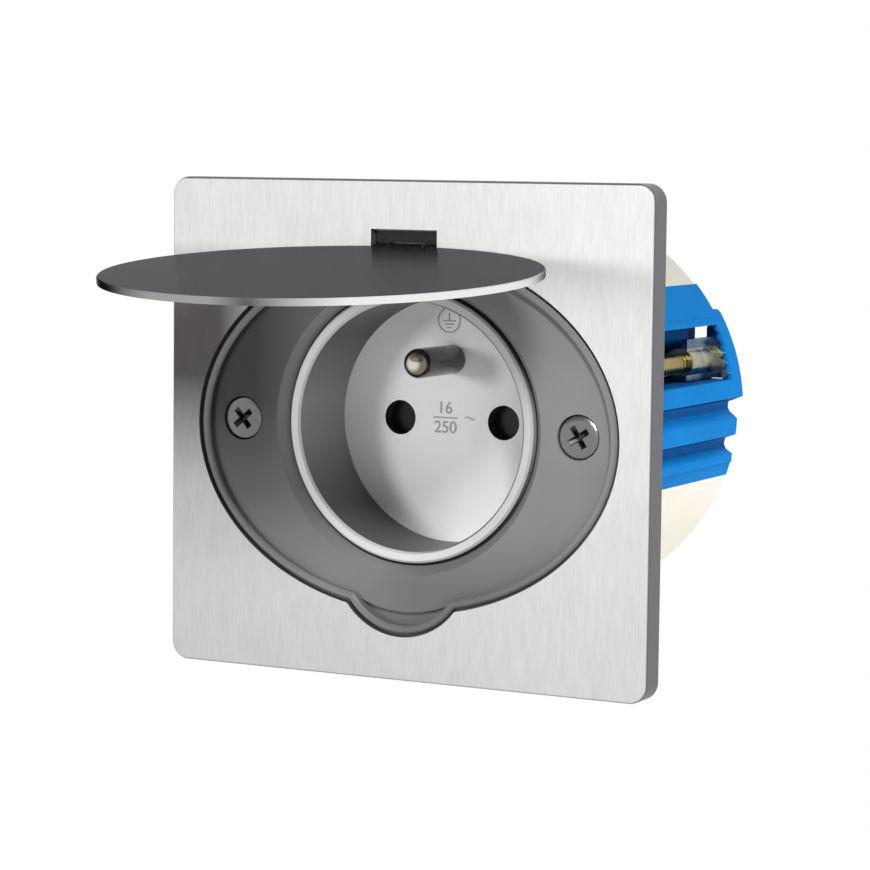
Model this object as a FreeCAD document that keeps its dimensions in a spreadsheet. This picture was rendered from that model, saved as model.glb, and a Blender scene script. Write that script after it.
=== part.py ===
import FreeCAD, Part
import math
import os

import Sketcher
from FreeCAD import Placement, Rotation, Vector

# Flush weatherproof socket outlet with a hinged steel lid, in a round box for hollow walls.
# Every piece is drawn lying on its back: x to the right, y up the wall and z out of the
# wall, with the wall surface at z = 0 and the socket's axis at x = y = 0. UPRIGHT then
# stands the piece up, so that the wall is the plane Y = 0 and the front looks towards -Y.

doc = FreeCAD.newDocument("weatherproof_outlet")
sheet = doc.addObject("Spreadsheet::Sheet", "sizes")
UPRIGHT = Placement(Vector(0, 0, 0), Rotation(Vector(1, 0, 0), 90))
sheet_row = [0]
labels = []


class Size:
    """A length in millimetres, with the sheet expression that gives it."""

    def __init__(self, value, text):
        self.value = value
        self.text = text

    def join(self, other, sign, value):
        right = other.text if isinstance(other, Size) else repr(float(other))
        return Size(value, "(" + self.text + " " + sign + " " + right + ")")

    def __add__(self, other):
        return self.join(other, "+", self.value + float(other))

    def __sub__(self, other):
        return self.join(other, "-", self.value - float(other))

    def __mul__(self, other):
        return self.join(other, "*", self.value * float(other))

    def __truediv__(self, other):
        return self.join(other, "/", self.value / float(other))

    def __neg__(self):
        return Size(-self.value, "(0 - " + self.text + ")")

    def __float__(self):
        return float(self.value)


def size(alias, value):
    """Write one driving dimension to the sheet and give it back."""
    sheet_row[0] += 1
    cell = "B" + str(sheet_row[0])
    sheet.set("A" + str(sheet_row[0]), alias)
    sheet.set(cell, str(value))
    sheet.setAlias(cell, alias)
    return Size(float(value), "<<sizes>>." + alias)


ZERO = Size(0.0, "0")
tooth_count = 5
front_entry_share = 0.32
rear_entry_share = 0.74

# Front plate, a pressed stainless steel cover with a folded rim
plate_width = size("plate_width", 86.0)
flange_cover = size("flange_cover", 3.75)
plate_drop = size("plate_drop", 0.65)
plate_rim = size("plate_rim", 4.6)
plate_sheet = size("plate_sheet", 1.2)
plate_corner = size("plate_corner", 3.0)
plate_edge_round = size("plate_edge_round", 0.45)

# The oval opening with its finger notch below and its hinge slot above
opening_half_width = size("opening_half_width", 37.8)
opening_half_height = size("opening_half_height", 29.1)
notch_radius = size("notch_radius", 12.2)
notch_drop = size("notch_drop", 21.4)
slot_width = size("slot_width", 11.8)
slot_top = size("slot_top", 31.5)

# Grey tray: its lip fills the opening, its floor carries the two screws
tray_gap = size("tray_gap", 0.55)
tray_fit = size("tray_fit", 0.4)
lip_width = size("lip_width", 1.25)
lip_below_face = size("lip_below_face", 0.1)
floor_below_face = size("floor_below_face", 1.4)
tray_below_face = size("tray_below_face", 2.6)
cone_radius = size("cone_radius", 23.8)
cone_depth = size("cone_depth", 2.0)
tray_bore = size("tray_bore", 22.4)
tray_skirt_wall = size("tray_skirt_wall", 1.5)
scoop_radius = size("scoop_radius", 20.4)
scoop_width = size("scoop_width", 2.1)
scoop_depth = size("scoop_depth", 0.8)

# Socket insert with a 40 mm well, two pole holes and the earth pin
collar_radius = size("collar_radius", 21.9)
collar_below_face = size("collar_below_face", 2.4)
collar_bevel = size("collar_bevel", 0.35)
well_radius = size("well_radius", 20.1)
well_depth = size("well_depth", 15.0)
well_floor = size("well_floor", 2.5)
hole_pitch = size("hole_pitch", 19.0)
hole_radius = size("hole_radius", 2.85)
insert_flange_radius = size("insert_flange_radius", 26.5)
insert_flange_thickness = size("insert_flange_thickness", 1.5)
insert_gasket_thickness = size("insert_gasket_thickness", 0.5)
pin_radius = size("pin_radius", 2.4)
pin_rise = size("pin_rise", 10.0)
pin_reach = size("pin_reach", 14.0)
pin_tip_round = size("pin_tip_round", 1.5)
pin_root = size("pin_root", 6.0)
pin_root_radius = size("pin_root_radius", 1.9)

# Steel mounting frame behind the tray, and the two screws that go into the box
frame_thickness = size("frame_thickness", 1.2)
frame_margin = size("frame_margin", 0.75)
frame_clearance = size("frame_clearance", 0.2)
screw_pitch = size("screw_pitch", 60.4)
screw_head_radius = size("screw_head_radius", 3.4)
screw_head_height = size("screw_head_height", 1.1)
screw_shank_radius = size("screw_shank_radius", 1.5)
screw_length = size("screw_length", 20.0)
screw_clearance = size("screw_clearance", 0.2)
recess_width = size("recess_width", 0.9)
recess_depth = size("recess_depth", 0.65)
recess_share = size("recess_share", 0.62)
tab_half_width = size("tab_half_width", 3.0)

# Base behind the insert, with the contacts, shutter and terminals in it
base_length = size("base_length", 17.0)
base_wall = size("base_wall", 1.8)
base_screw_radius = size("base_screw_radius", 1.2)
base_screw_out = size("base_screw_out", 12.0)
floor_skin = size("floor_skin", 1.0)
running_clearance = size("running_clearance", 0.15)
contact_sheet = size("contact_sheet", 1.0)
sleeve_outer = size("sleeve_outer", 3.2)
sleeve_inner = size("sleeve_inner", 2.35)
sleeve_length = size("sleeve_length", 8.0)
terminal_width = size("terminal_width", 6.4)
terminal_depth = size("terminal_depth", 5.0)
terminal_out = size("terminal_out", 15.6)
wire_radius = size("wire_radius", 1.4)
wire_share = size("wire_share", 0.7)
terminal_head_radius = size("terminal_head_radius", 2.2)
terminal_head_height = size("terminal_head_height", 1.6)
terminal_slot = size("terminal_slot", 0.8)
strip_drop = size("strip_drop", 4.0)
strip_width = size("strip_width", 7.0)
terminal_screw_radius = size("terminal_screw_radius", 1.5)
shutter_thickness = size("shutter_thickness", 2.4)
shutter_half_width = size("shutter_half_width", 3.9)
shutter_travel = size("shutter_travel", 6.2)
shutter_clearance = size("shutter_clearance", 0.25)
shutter_space = size("shutter_space", 3.0)
shutter_cover = size("shutter_cover", 3.7)
rail_half_length = size("rail_half_length", 12.0)

# Lid and its hinge
lid_gap = size("lid_gap", 0.4)
lid_thickness = size("lid_thickness", 1.1)
lid_edge_bevel = size("lid_edge_bevel", 0.2)
lid_open_angle = size("lid_open_angle", 83.5)
hinge_rise = size("hinge_rise", 27.9)
hinge_below_face = size("hinge_below_face", 1.2)
hinge_barrel_radius = size("hinge_barrel_radius", 1.35)
hinge_pin_radius = size("hinge_pin_radius", 0.7)
hinge_running_gap = size("hinge_running_gap", 0.05)
knuckle_half_width = size("knuckle_half_width", 2.9)
hinge_washer = size("hinge_washer", 0.3)
hinge_leaf_thickness = size("hinge_leaf_thickness", 0.9)
leaf_margin = size("leaf_margin", 0.3)
seal_thickness = size("seal_thickness", 0.7)
seal_width = size("seal_width", 0.9)
seal_clearance = size("seal_clearance", 0.3)

# Round box for hollow walls, its soft cable entries and its claws
box_radius = size("box_radius", 33.5)
spigot_step = size("spigot_step", 0.5)
spigot_length = size("spigot_length", 7.0)
box_wall = size("box_wall", 1.8)
box_depth = size("box_depth", 55.0)
box_flange_width = size("box_flange_width", 2.75)
box_flange_thickness = size("box_flange_thickness", 0.8)
window_low = size("window_low", 5.6)
window_high = size("window_high", 14.9)
window_front = size("window_front", 7.0)
rear_ring = size("rear_ring", 1.3)
claw_screw_radius = size("claw_screw_radius", 1.5)
claw_screw_inset = size("claw_screw_inset", 5.3)
claw_screw_up = size("claw_screw_up", 8.9)
claw_length = size("claw_length", 12.0)
claw_sheet = size("claw_sheet", 1.0)
claw_rest_gap = size("claw_rest_gap", 0.3)
claw_low = size("claw_low", 5.9)
claw_high = size("claw_high", 14.5)
claw_plate_high = size("claw_plate_high", 12.9)
claw_plate_out = size("claw_plate_out", 0.4)
tooth_height = size("tooth_height", 1.0)
boss_radius = size("boss_radius", 3.3)
claw_head_radius = size("claw_head_radius", 2.6)
claw_head_height = size("claw_head_height", 2.0)
post_radius = size("post_radius", 2.3)
post_length = size("post_length", 18.0)
upper_groove_top = size("upper_groove_top", 2.5)
upper_groove_bottom = size("upper_groove_bottom", -1.1)
upper_groove_depth = size("upper_groove_depth", 1.75)
lower_groove_top = size("lower_groove_top", -3.9)
lower_groove_bottom = size("lower_groove_bottom", -7.75)
lower_groove_depth = size("lower_groove_depth", 2.3)
groove_back_depth = size("groove_back_depth", 4.0)
tongue_length = size("tongue_length", 2.7)
tongue_low = size("tongue_low", 1.8)
tongue_high = size("tongue_high", 17.4)
tongue_corner = size("tongue_corner", 1.0)
channel_wall = size("channel_wall", 1.2)
channel_slot_low = size("channel_slot_low", 6.2)
channel_slot_high = size("channel_slot_high", 10.9)
channel_slot_rear = size("channel_slot_rear", 5.5)
strip_high_drop = size("strip_high_drop", 11.8)
strip_low = size("strip_low", 10.9)
crossbar_half_width = size("crossbar_half_width", 4.8)
membrane_thickness = size("membrane_thickness", 1.6)
membrane_front = size("membrane_front", 9.0)
membrane_rear_gap = size("membrane_rear_gap", 1.0)
entry_radius = size("entry_radius", 9.5)
entry_rise = size("entry_rise", 0.45)
rear_entry_radius = size("rear_entry_radius", 7.0)
rear_entry_out = size("rear_entry_out", 17.0)

# The box's flange, and what has to cover it, stand on it or sit in the box
box_flange_radius = box_radius + box_flange_width
plate_height = (box_flange_radius + flange_cover) * 2
frame_radius = box_flange_radius - frame_margin
spigot_radius = box_radius + spigot_step
claw_screw_out = box_radius - claw_screw_inset
strip_high = box_radius - strip_high_drop
window_rear = box_depth - rear_ring
claw_rest_depth = window_rear - claw_rest_gap
claw_plate_back = claw_screw_out + claw_plate_out
channel_face = claw_screw_out - claw_screw_radius - claw_sheet - claw_rest_gap

# Levels, measured out of the wall
face = plate_rim
plate_inside = plate_rim - plate_sheet
tray_back = face - tray_below_face
tray_floor = face - floor_below_face
lip_top = face - lip_below_face
frame_back = tray_back - frame_thickness
insert_flange_front = frame_back - insert_gasket_thickness
insert_flange_back = insert_flange_front - insert_flange_thickness
collar_front = face - collar_below_face
well_bottom = collar_front - well_depth
insert_back = well_bottom - well_floor
base_back = insert_back - base_length
boss_front = insert_flange_back - running_clearance
lid_back = face - lid_thickness
hinge_level = face - hinge_below_face

# The oval of the tray's lip and of the lid, each inside the one before
lip_half_width = opening_half_width - tray_gap
lip_half_height = opening_half_height - tray_gap
floor_half_width = lip_half_width - lip_width
floor_half_height = lip_half_height - lip_width
lid_half_width = floor_half_width - lid_gap
lid_half_height = floor_half_height - lid_gap


def new_body(label, placement=UPRIGHT):
    """Start a sub-part that is built up from sketches and features."""
    body = doc.addObject("PartDesign::Body", label)
    body.Label = label
    body.Placement = placement
    labels.append(label)
    return body


def origin_feature(body, role):
    return [item for item in body.Origin.OriginFeatures if item.Role == role][0]


def new_sketch(body, name, level=ZERO, role="XY_Plane"):
    """A sketch on one of the body's own origin planes, raised to the level."""
    sketch = body.newObject("Sketcher::SketchObject", name)
    sketch.AttachmentSupport = [(origin_feature(body, role), "")]
    sketch.MapMode = "FlatFace"
    sketch.AttachmentOffset = Placement(Vector(0, 0, level.value), Rotation())
    sketch.setExpression("AttachmentOffset.Base.z", level.text)
    return sketch


def measure(sketch, kind, ends, wanted):
    """Add a measured constraint that follows the sheet."""
    index = sketch.addConstraint(Sketcher.Constraint(kind, *ends, wanted.value))
    sketch.setExpression("Constraints[" + str(index) + "]", wanted.text)


def place_point(sketch, geometry, end, x, y):
    """Hold one point of the sketch at x, y."""
    if x is ZERO:
        sketch.addConstraint(Sketcher.Constraint("PointOnObject", geometry, end, -2))
    else:
        measure(sketch, "DistanceX", (-1, 1, geometry, end), x)
    if y is ZERO:
        sketch.addConstraint(Sketcher.Constraint("PointOnObject", geometry, end, -1))
    else:
        measure(sketch, "DistanceY", (-1, 1, geometry, end), y)


def draw_circle(sketch, radius, x=ZERO, y=ZERO):
    centre = Vector(x.value, y.value, 0)
    ring = sketch.addGeometry(Part.Circle(centre, Vector(0, 0, 1), radius.value))
    measure(sketch, "Radius", (ring,), radius)
    place_point(sketch, ring, 3, x, y)


def draw_ellipse(sketch, half_width, half_height, y):
    """An upright oval on the middle line, wider than it is high."""
    centre = Vector(0, y.value, 0)
    right = centre + Vector(half_width.value, 0, 0)
    top = centre + Vector(0, half_height.value, 0)
    oval = sketch.addGeometry(Part.Ellipse(right, top, centre))
    sketch.exposeInternalGeometry(oval)
    place_point(sketch, oval, 3, ZERO, y)
    sketch.addConstraint(Sketcher.Constraint("Horizontal", oval + 1))
    measure(sketch, "Distance", (oval + 1,), half_width * 2)
    measure(sketch, "Distance", (oval + 2,), half_height * 2)


def draw_polygon(sketch, corners):
    """A closed outline with every corner placed."""
    first = sketch.GeometryCount
    count = len(corners)
    for index in range(count):
        start = corners[index]
        end = corners[(index + 1) % count]
        line = Part.LineSegment(Vector(start[0].value, start[1].value, 0),
                                Vector(end[0].value, end[1].value, 0))
        sketch.addGeometry(line)
    for index in range(count):
        following = first + (index + 1) % count
        sketch.addConstraint(Sketcher.Constraint("Coincident", first + index, 2, following, 1))
        place_point(sketch, first + index, 1, *corners[index])


def draw_rectangle(sketch, left, right, low, high):
    draw_polygon(sketch, [(left, low), (right, low), (right, high), (left, high)])


def feature(body, kind, name, sketch):
    item = body.newObject("PartDesign::" + kind, name)
    item.Profile = sketch
    return item


def pad(body, name, sketch, length, down=False):
    """Raise the sketch out of the wall, or into it."""
    item = feature(body, "Pad", name, sketch)
    item.Length = length.value
    item.setExpression("Length", length.text)
    item.Reversed = down
    return item


def pocket(body, name, sketch, length, up=False):
    """Cut the sketch into the piece, downwards unless told otherwise."""
    item = feature(body, "Pocket", name, sketch)
    item.Length = length.value
    item.setExpression("Length", length.text)
    item.Reversed = up
    return item


def revolve(body, name, sketch):
    item = feature(body, "Revolution", name, sketch)
    item.ReferenceAxis = (sketch, ["V_Axis"])
    item.Angle = 360
    return item


def groove(body, name, sketch):
    item = feature(body, "Groove", name, sketch)
    item.ReferenceAxis = (sketch, ["V_Axis"])
    item.Angle = 360
    return item


def turned_copies(body, name, originals, count):
    """Repeat features about the socket's axis."""
    item = body.newObject("PartDesign::PolarPattern", name)
    item.Originals = originals
    item.Axis = (origin_feature(body, "Z_Axis"), [""])
    item.Angle = 360
    item.Occurrences = count
    body.Tip = item
    return item


def mirrored_copy(body, name, originals):
    """Repeat features on the other side of the middle line."""
    item = body.newObject("PartDesign::Mirrored", name)
    item.Originals = originals
    item.MirrorPlane = (origin_feature(body, "YZ_Plane"), [""])
    body.Tip = item
    return item


def round_edges(body, name, base, radius, wanted):
    """Round the edges of the base that the test picks."""
    doc.recompute()
    edges = base.Shape.Edges
    names = ["Edge" + str(i + 1) for i in range(len(edges)) if wanted(edges[i])]
    item = body.newObject("PartDesign::Fillet", name)
    item.Base = (base, names)
    item.Radius = radius.value
    item.setExpression("Radius", radius.text)
    return item


def bevel_edges(body, name, base, width, wanted):
    """Break the edges of the base that the test picks."""
    doc.recompute()
    edges = base.Shape.Edges
    names = ["Edge" + str(i + 1) for i in range(len(edges)) if wanted(edges[i])]
    item = body.newObject("PartDesign::Chamfer", name)
    item.Base = (base, names)
    item.Size = width.value
    item.setExpression("Size", width.text)
    return item


def is_upright(edge):
    box = edge.BoundBox
    return box.ZLength > 0.1 and box.XLength < 0.01 and box.YLength < 0.01


def lies_at(level):
    """A test for edges that lie flat at one level."""
    def test(edge):
        box = edge.BoundBox
        return box.ZLength < 0.001 and abs(box.ZMin - level.value) < 0.001
    return test


def block(name, left, right, low, high, back, front):
    item = doc.addObject("Part::Box", name)
    item.setExpression("Length", (right - left).text)
    item.setExpression("Width", (high - low).text)
    item.setExpression("Height", (front - back).text)
    item.setExpression("Placement.Base.x", left.text)
    item.setExpression("Placement.Base.y", low.text)
    item.setExpression("Placement.Base.z", back.text)
    return item


def rod(name, radius, back, front, x=ZERO, y=ZERO):
    """A round bar that runs out of the wall."""
    item = doc.addObject("Part::Cylinder", name)
    item.setExpression("Radius", radius.text)
    item.setExpression("Height", (front - back).text)
    item.setExpression("Placement.Base.x", x.text)
    item.setExpression("Placement.Base.y", y.text)
    item.setExpression("Placement.Base.z", back.text)
    return item


def cross_rod(name, radius, left, right, y, z):
    """A round bar that runs from left to right."""
    item = doc.addObject("Part::Cylinder", name)
    item.setExpression("Radius", radius.text)
    item.setExpression("Height", (right - left).text)
    item.Placement = Placement(Vector(0, 0, 0), Rotation(Vector(0, 1, 0), 90))
    item.setExpression("Placement.Base.x", left.text)
    item.setExpression("Placement.Base.y", y.text)
    item.setExpression("Placement.Base.z", z.text)
    return item


def fuse(name, items):
    item = doc.addObject("Part::MultiFuse", name)
    item.Shapes = items
    return item


def cut(name, base, tool):
    item = doc.addObject("Part::Cut", name)
    item.Base = base
    item.Tool = tool
    return item


def common(name, items):
    item = doc.addObject("Part::MultiCommon", name)
    item.Shapes = items
    return item


def group(name, items):
    """Separate solids that share one node."""
    item = doc.addObject("Part::Compound", name)
    item.Links = items
    return item


def finish(item, label, placement=UPRIGHT):
    """Make a built-up shape a sub-part of its own."""
    item.Label = label
    item.Placement = placement
    labels.append(label)


def make_face_plate():
    body = new_body("face_plate")
    half_width = plate_width / 2
    low = -plate_height / 2 - plate_drop
    high = plate_height / 2 - plate_drop
    outline = new_sketch(body, "plate_outline")
    draw_rectangle(outline, -half_width, half_width, low, high)
    sheet_block = pad(body, "plate_block", outline, plate_rim)
    corners = round_edges(body, "plate_corners", sheet_block, plate_corner, is_upright)
    round_edges(body, "plate_edge", corners, plate_edge_round, lies_at(face))
    inside = new_sketch(body, "plate_inside")
    draw_rectangle(inside, plate_sheet - half_width, half_width - plate_sheet,
                   low + plate_sheet, high - plate_sheet)
    hollow = pocket(body, "plate_hollow", inside, plate_inside, up=True)
    inner_corner = plate_corner - plate_sheet
    reach = half_width.value - plate_sheet.value

    def is_inner_corner(edge):
        return is_upright(edge) and abs(abs(edge.BoundBox.XMin) - reach) < 0.01
    round_edges(body, "plate_inner_corners", hollow, inner_corner, is_inner_corner)
    oval = new_sketch(body, "opening_oval", face)
    draw_ellipse(oval, opening_half_width, opening_half_height, -plate_drop)
    pocket(body, "opening", oval, plate_rim)
    notch = new_sketch(body, "notch_circle", face)
    draw_circle(notch, notch_radius, ZERO, -notch_drop)
    pocket(body, "finger_notch", notch, plate_rim)
    slot = new_sketch(body, "slot_outline", face)
    draw_rectangle(slot, -slot_width / 2, slot_width / 2, hinge_rise - hinge_barrel_radius * 2, slot_top)
    pocket(body, "hinge_slot", slot, plate_rim)


def make_plate_gasket():
    body = new_body("plate_gasket")
    margin = plate_sheet + tray_fit
    half_width = plate_width / 2 - margin
    outline = new_sketch(body, "gasket_outline")
    draw_rectangle(outline, -half_width, half_width,
                   margin - plate_height / 2 - plate_drop, plate_height / 2 - plate_drop - margin)
    foam = pad(body, "gasket_foam", outline, tray_back)
    round_edges(body, "gasket_corners", foam, plate_corner - plate_sheet, is_upright)
    hole = new_sketch(body, "gasket_hole", tray_back)
    draw_circle(hole, box_flange_radius + tray_fit)
    pocket(body, "gasket_opening", hole, tray_back)


def make_inner_tray():
    body = new_body("inner_tray")
    margin = plate_sheet + tray_fit
    half_width = plate_width / 2 - margin
    outline = new_sketch(body, "tray_outline", tray_back)
    draw_rectangle(outline, -half_width, half_width,
                   margin - plate_height / 2 - plate_drop, plate_height / 2 - plate_drop - margin)
    base = pad(body, "tray_base", outline, plate_inside - tray_back)
    round_edges(body, "tray_corners", base, plate_corner - plate_sheet, is_upright)
    oval = new_sketch(body, "lip_oval", tray_back)
    draw_ellipse(oval, lip_half_width, lip_half_height, -plate_drop)
    pad(body, "lip_block", oval, lip_top - tray_back)
    notch = new_sketch(body, "lip_notch_circle", tray_back)
    draw_circle(notch, notch_radius - tray_gap, ZERO, -notch_drop)
    pad(body, "lip_notch_block", notch, lip_top - tray_back)
    floor_oval = new_sketch(body, "floor_oval", lip_top)
    draw_ellipse(floor_oval, floor_half_width, floor_half_height, -plate_drop)
    pocket(body, "tray_recess", floor_oval, lip_top - tray_floor)
    floor_notch = new_sketch(body, "floor_notch_circle", lip_top)
    draw_circle(floor_notch, notch_radius - tray_gap - lip_width, ZERO, -notch_drop)
    recess = pocket(body, "notch_recess", floor_notch, lip_top - tray_floor)
    bevel_edges(body, "lip_edges", recess, lip_width / 4, lies_at(lip_top))
    make_finger_scoop(body)
    skirt = new_sketch(body, "skirt_circle", tray_back)
    draw_circle(skirt, tray_bore + tray_skirt_wall)
    pad(body, "tray_skirt", skirt, frame_thickness, down=True)
    cone = new_sketch(body, "cone_profile", ZERO, "XZ_Plane")
    cone_bottom = tray_floor - cone_depth
    draw_polygon(cone, [(ZERO, frame_back - tray_skirt_wall), (tray_bore, frame_back - tray_skirt_wall),
                        (tray_bore, cone_bottom), (cone_radius, tray_floor), (ZERO, tray_floor)])
    groove(body, "socket_cone", cone)
    hinge_hole = new_sketch(body, "hinge_window", face)
    draw_rectangle(hinge_hole, -slot_width / 2, slot_width / 2,
                   cone_radius + tray_gap, slot_top - tray_gap / 2)
    pocket(body, "hinge_opening", hinge_hole, tray_below_face)
    head_recess = new_sketch(body, "screw_recess_circle", tray_floor)
    draw_circle(head_recess, screw_head_radius + screw_clearance, screw_pitch / 2)
    head_hole = pocket(body, "screw_recess", head_recess, screw_head_height - screw_clearance)
    shank = new_sketch(body, "screw_hole_circle", tray_floor)
    draw_circle(shank, screw_shank_radius + screw_clearance, screw_pitch / 2)
    shank_hole = pocket(body, "screw_hole", shank, tray_below_face)
    mirrored_copy(body, "other_screw_seat", [head_hole, shank_hole])


def make_finger_scoop(body):
    """The hollow crescent below the lid's edge, where a fingertip gets hold of it."""
    hollow = new_sketch(body, "scoop_circle", tray_floor)
    notch_floor_radius = notch_radius - tray_gap - lip_width
    draw_circle(hollow, notch_floor_radius, ZERO, -notch_drop)
    pocket(body, "finger_scoop", hollow, scoop_depth)
    inner = new_sketch(body, "scoop_inner_circle", tray_floor)
    draw_circle(inner, scoop_radius, ZERO, scoop_radius + scoop_width - notch_drop - notch_floor_radius)
    pad(body, "scoop_floor", inner, scoop_depth, down=True)


def make_socket_insert():
    body = new_body("socket_insert")
    profile = new_sketch(body, "insert_profile", ZERO, "XZ_Plane")
    draw_polygon(profile, [(ZERO, insert_back), (collar_radius, insert_back),
                           (collar_radius, insert_flange_back),
                           (insert_flange_radius, insert_flange_back),
                           (insert_flange_radius, insert_flange_front),
                           (collar_radius, insert_flange_front),
                           (collar_radius, collar_front - collar_bevel),
                           (collar_radius - collar_bevel, collar_front),
                           (well_radius + collar_bevel, collar_front),
                           (well_radius, collar_front - collar_bevel),
                           (well_radius, well_bottom), (ZERO, well_bottom)])
    revolve(body, "insert_cup", profile)
    pole = new_sketch(body, "pole_hole_circle", well_bottom)
    draw_circle(pole, hole_radius, hole_pitch / 2)
    pole_hole = pocket(body, "pole_hole", pole, well_floor * 2)
    mirrored_copy(body, "other_pole_hole", [pole_hole])
    pin_seat = new_sketch(body, "pin_hole_circle", well_bottom)
    draw_circle(pin_seat, pin_root_radius, ZERO, pin_rise)
    pocket(body, "pin_hole", pin_seat, well_floor * 2)
    boss_hole = new_sketch(body, "base_screw_hole_circle", insert_back)
    draw_circle(boss_hole, base_screw_radius, base_screw_out, -base_screw_out)
    blind = pocket(body, "base_screw_hole", boss_hole, well_floor - floor_skin, up=True)
    mirrored_copy(body, "other_base_screw_hole", [blind])


def make_insert_gasket():
    ring = rod("insert_gasket_disc", insert_flange_radius, insert_flange_front, frame_back)
    hole = rod("insert_gasket_hole", collar_radius + hinge_running_gap, insert_flange_front, frame_back)
    finish(cut("insert_gasket_ring", ring, hole), "insert_gasket")


def make_earth_pin():
    body = new_body("earth_pin")
    tip = well_bottom + pin_reach
    circle = new_sketch(body, "pin_circle", well_bottom)
    draw_circle(circle, pin_radius, ZERO, pin_rise)
    shaft = pad(body, "pin_shaft", circle, pin_reach)
    round_edges(body, "pin_tip", shaft, pin_tip_round, lies_at(tip))
    root = new_sketch(body, "root_circle", well_bottom)
    draw_circle(root, pin_root_radius, ZERO, pin_rise)
    pad(body, "pin_root", root, well_floor + pin_root, down=True)


def make_earth_terminal():
    """Brass strip from the earth pin to its terminal, with two wire holes."""
    body = new_body("earth_terminal")
    strip_front = insert_back - strip_drop
    strip = new_sketch(body, "strip_outline", strip_front)
    draw_rectangle(strip, -strip_width / 2, strip_width / 2, pin_rise - strip_width / 2,
                   terminal_out + terminal_width / 2)
    pad(body, "strip", strip, contact_sheet, down=True)
    outline = new_sketch(body, "terminal_outline", strip_front)
    draw_rectangle(outline, -terminal_width, terminal_width,
                   terminal_out - terminal_width / 2, terminal_out + terminal_width / 2)
    pad(body, "terminal_block", outline, strip_front - base_back - base_wall - running_clearance, down=True)
    seat = new_sketch(body, "strip_hole_circle", strip_front)
    draw_circle(seat, pin_root_radius, ZERO, pin_rise)
    pocket(body, "strip_hole", seat, contact_sheet * 2)
    wire = new_sketch(body, "wire_hole_circle", base_back + base_wall)
    draw_circle(wire, wire_radius, terminal_width * wire_share, terminal_out)
    wire_hole = pocket(body, "wire_hole", wire, terminal_depth, up=True)
    mirrored_copy(body, "other_wire_hole", [wire_hole])
    screw = new_sketch(body, "terminal_thread_circle", base_back + base_wall)
    draw_circle(screw, terminal_screw_radius, ZERO, terminal_out)
    pocket(body, "terminal_thread", screw, terminal_depth, up=True)


def make_pole_contact(label, placement):
    """Slit brass sleeve behind a pole hole, joined to its own terminal."""
    body = new_body(label, placement)
    sleeve_front = insert_back - shutter_space
    sleeve_back = sleeve_front - sleeve_length
    ring = new_sketch(body, "sleeve_circle", sleeve_front)
    draw_circle(ring, sleeve_outer, hole_pitch / 2)
    pad(body, "sleeve", ring, sleeve_length, down=True)
    outline = new_sketch(body, "terminal_outline", sleeve_back + contact_sheet * 3)
    inner = terminal_out - terminal_width / 2
    draw_rectangle(outline, inner, terminal_out + terminal_width / 2, -terminal_width, terminal_width)
    pad(body, "terminal_block", outline,
        sleeve_back + contact_sheet * 3 - base_back - base_wall - running_clearance, down=True)
    web = new_sketch(body, "web_outline", sleeve_back)
    draw_rectangle(web, hole_pitch / 2, inner + contact_sheet, -sleeve_inner, sleeve_inner)
    pad(body, "web", web, contact_sheet)
    bore = new_sketch(body, "bore_circle", sleeve_front)
    draw_circle(bore, sleeve_inner, hole_pitch / 2)
    pocket(body, "sleeve_bore", bore, sleeve_length - contact_sheet)
    slit = new_sketch(body, "slit_outline", sleeve_front)
    draw_rectangle(slit, hole_pitch / 2 - sleeve_outer * 2, hole_pitch / 2,
                   -contact_sheet / 4, contact_sheet / 4)
    pocket(body, "sleeve_slit", slit, sleeve_length - contact_sheet)
    wire = new_sketch(body, "wire_hole_circle", base_back + base_wall)
    draw_circle(wire, wire_radius, terminal_out, terminal_width * wire_share)
    draw_circle(wire, wire_radius, terminal_out, -terminal_width * wire_share)
    pocket(body, "wire_holes", wire, terminal_depth, up=True)
    screw = new_sketch(body, "terminal_thread_circle", base_back + base_wall)
    draw_circle(screw, terminal_screw_radius, terminal_out)
    pocket(body, "terminal_thread", screw, terminal_depth, up=True)


def make_terminal_screws():
    back = base_back - terminal_head_height / 2
    screws = []
    for name, x, y in (("left", -terminal_out, ZERO), ("right", terminal_out, ZERO),
                       ("earth", ZERO, terminal_out)):
        head = rod("terminal_head_" + name, terminal_head_radius, back, back + terminal_head_height, x, y)
        shank = rod("terminal_shank_" + name, terminal_screw_radius,
                    back, base_back + base_wall + terminal_depth / 2, x, y)
        slot = block("terminal_slot_" + name, x - terminal_head_radius, x + terminal_head_radius,
                     y - terminal_slot / 2, y + terminal_slot / 2, back, back + terminal_slot)
        screw = fuse("terminal_screw_" + name, [head, shank])
        screws.append(cut("slotted_screw_" + name, screw, slot))
    finish(group("terminal_screw_group", screws), "terminal_screws")


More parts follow.
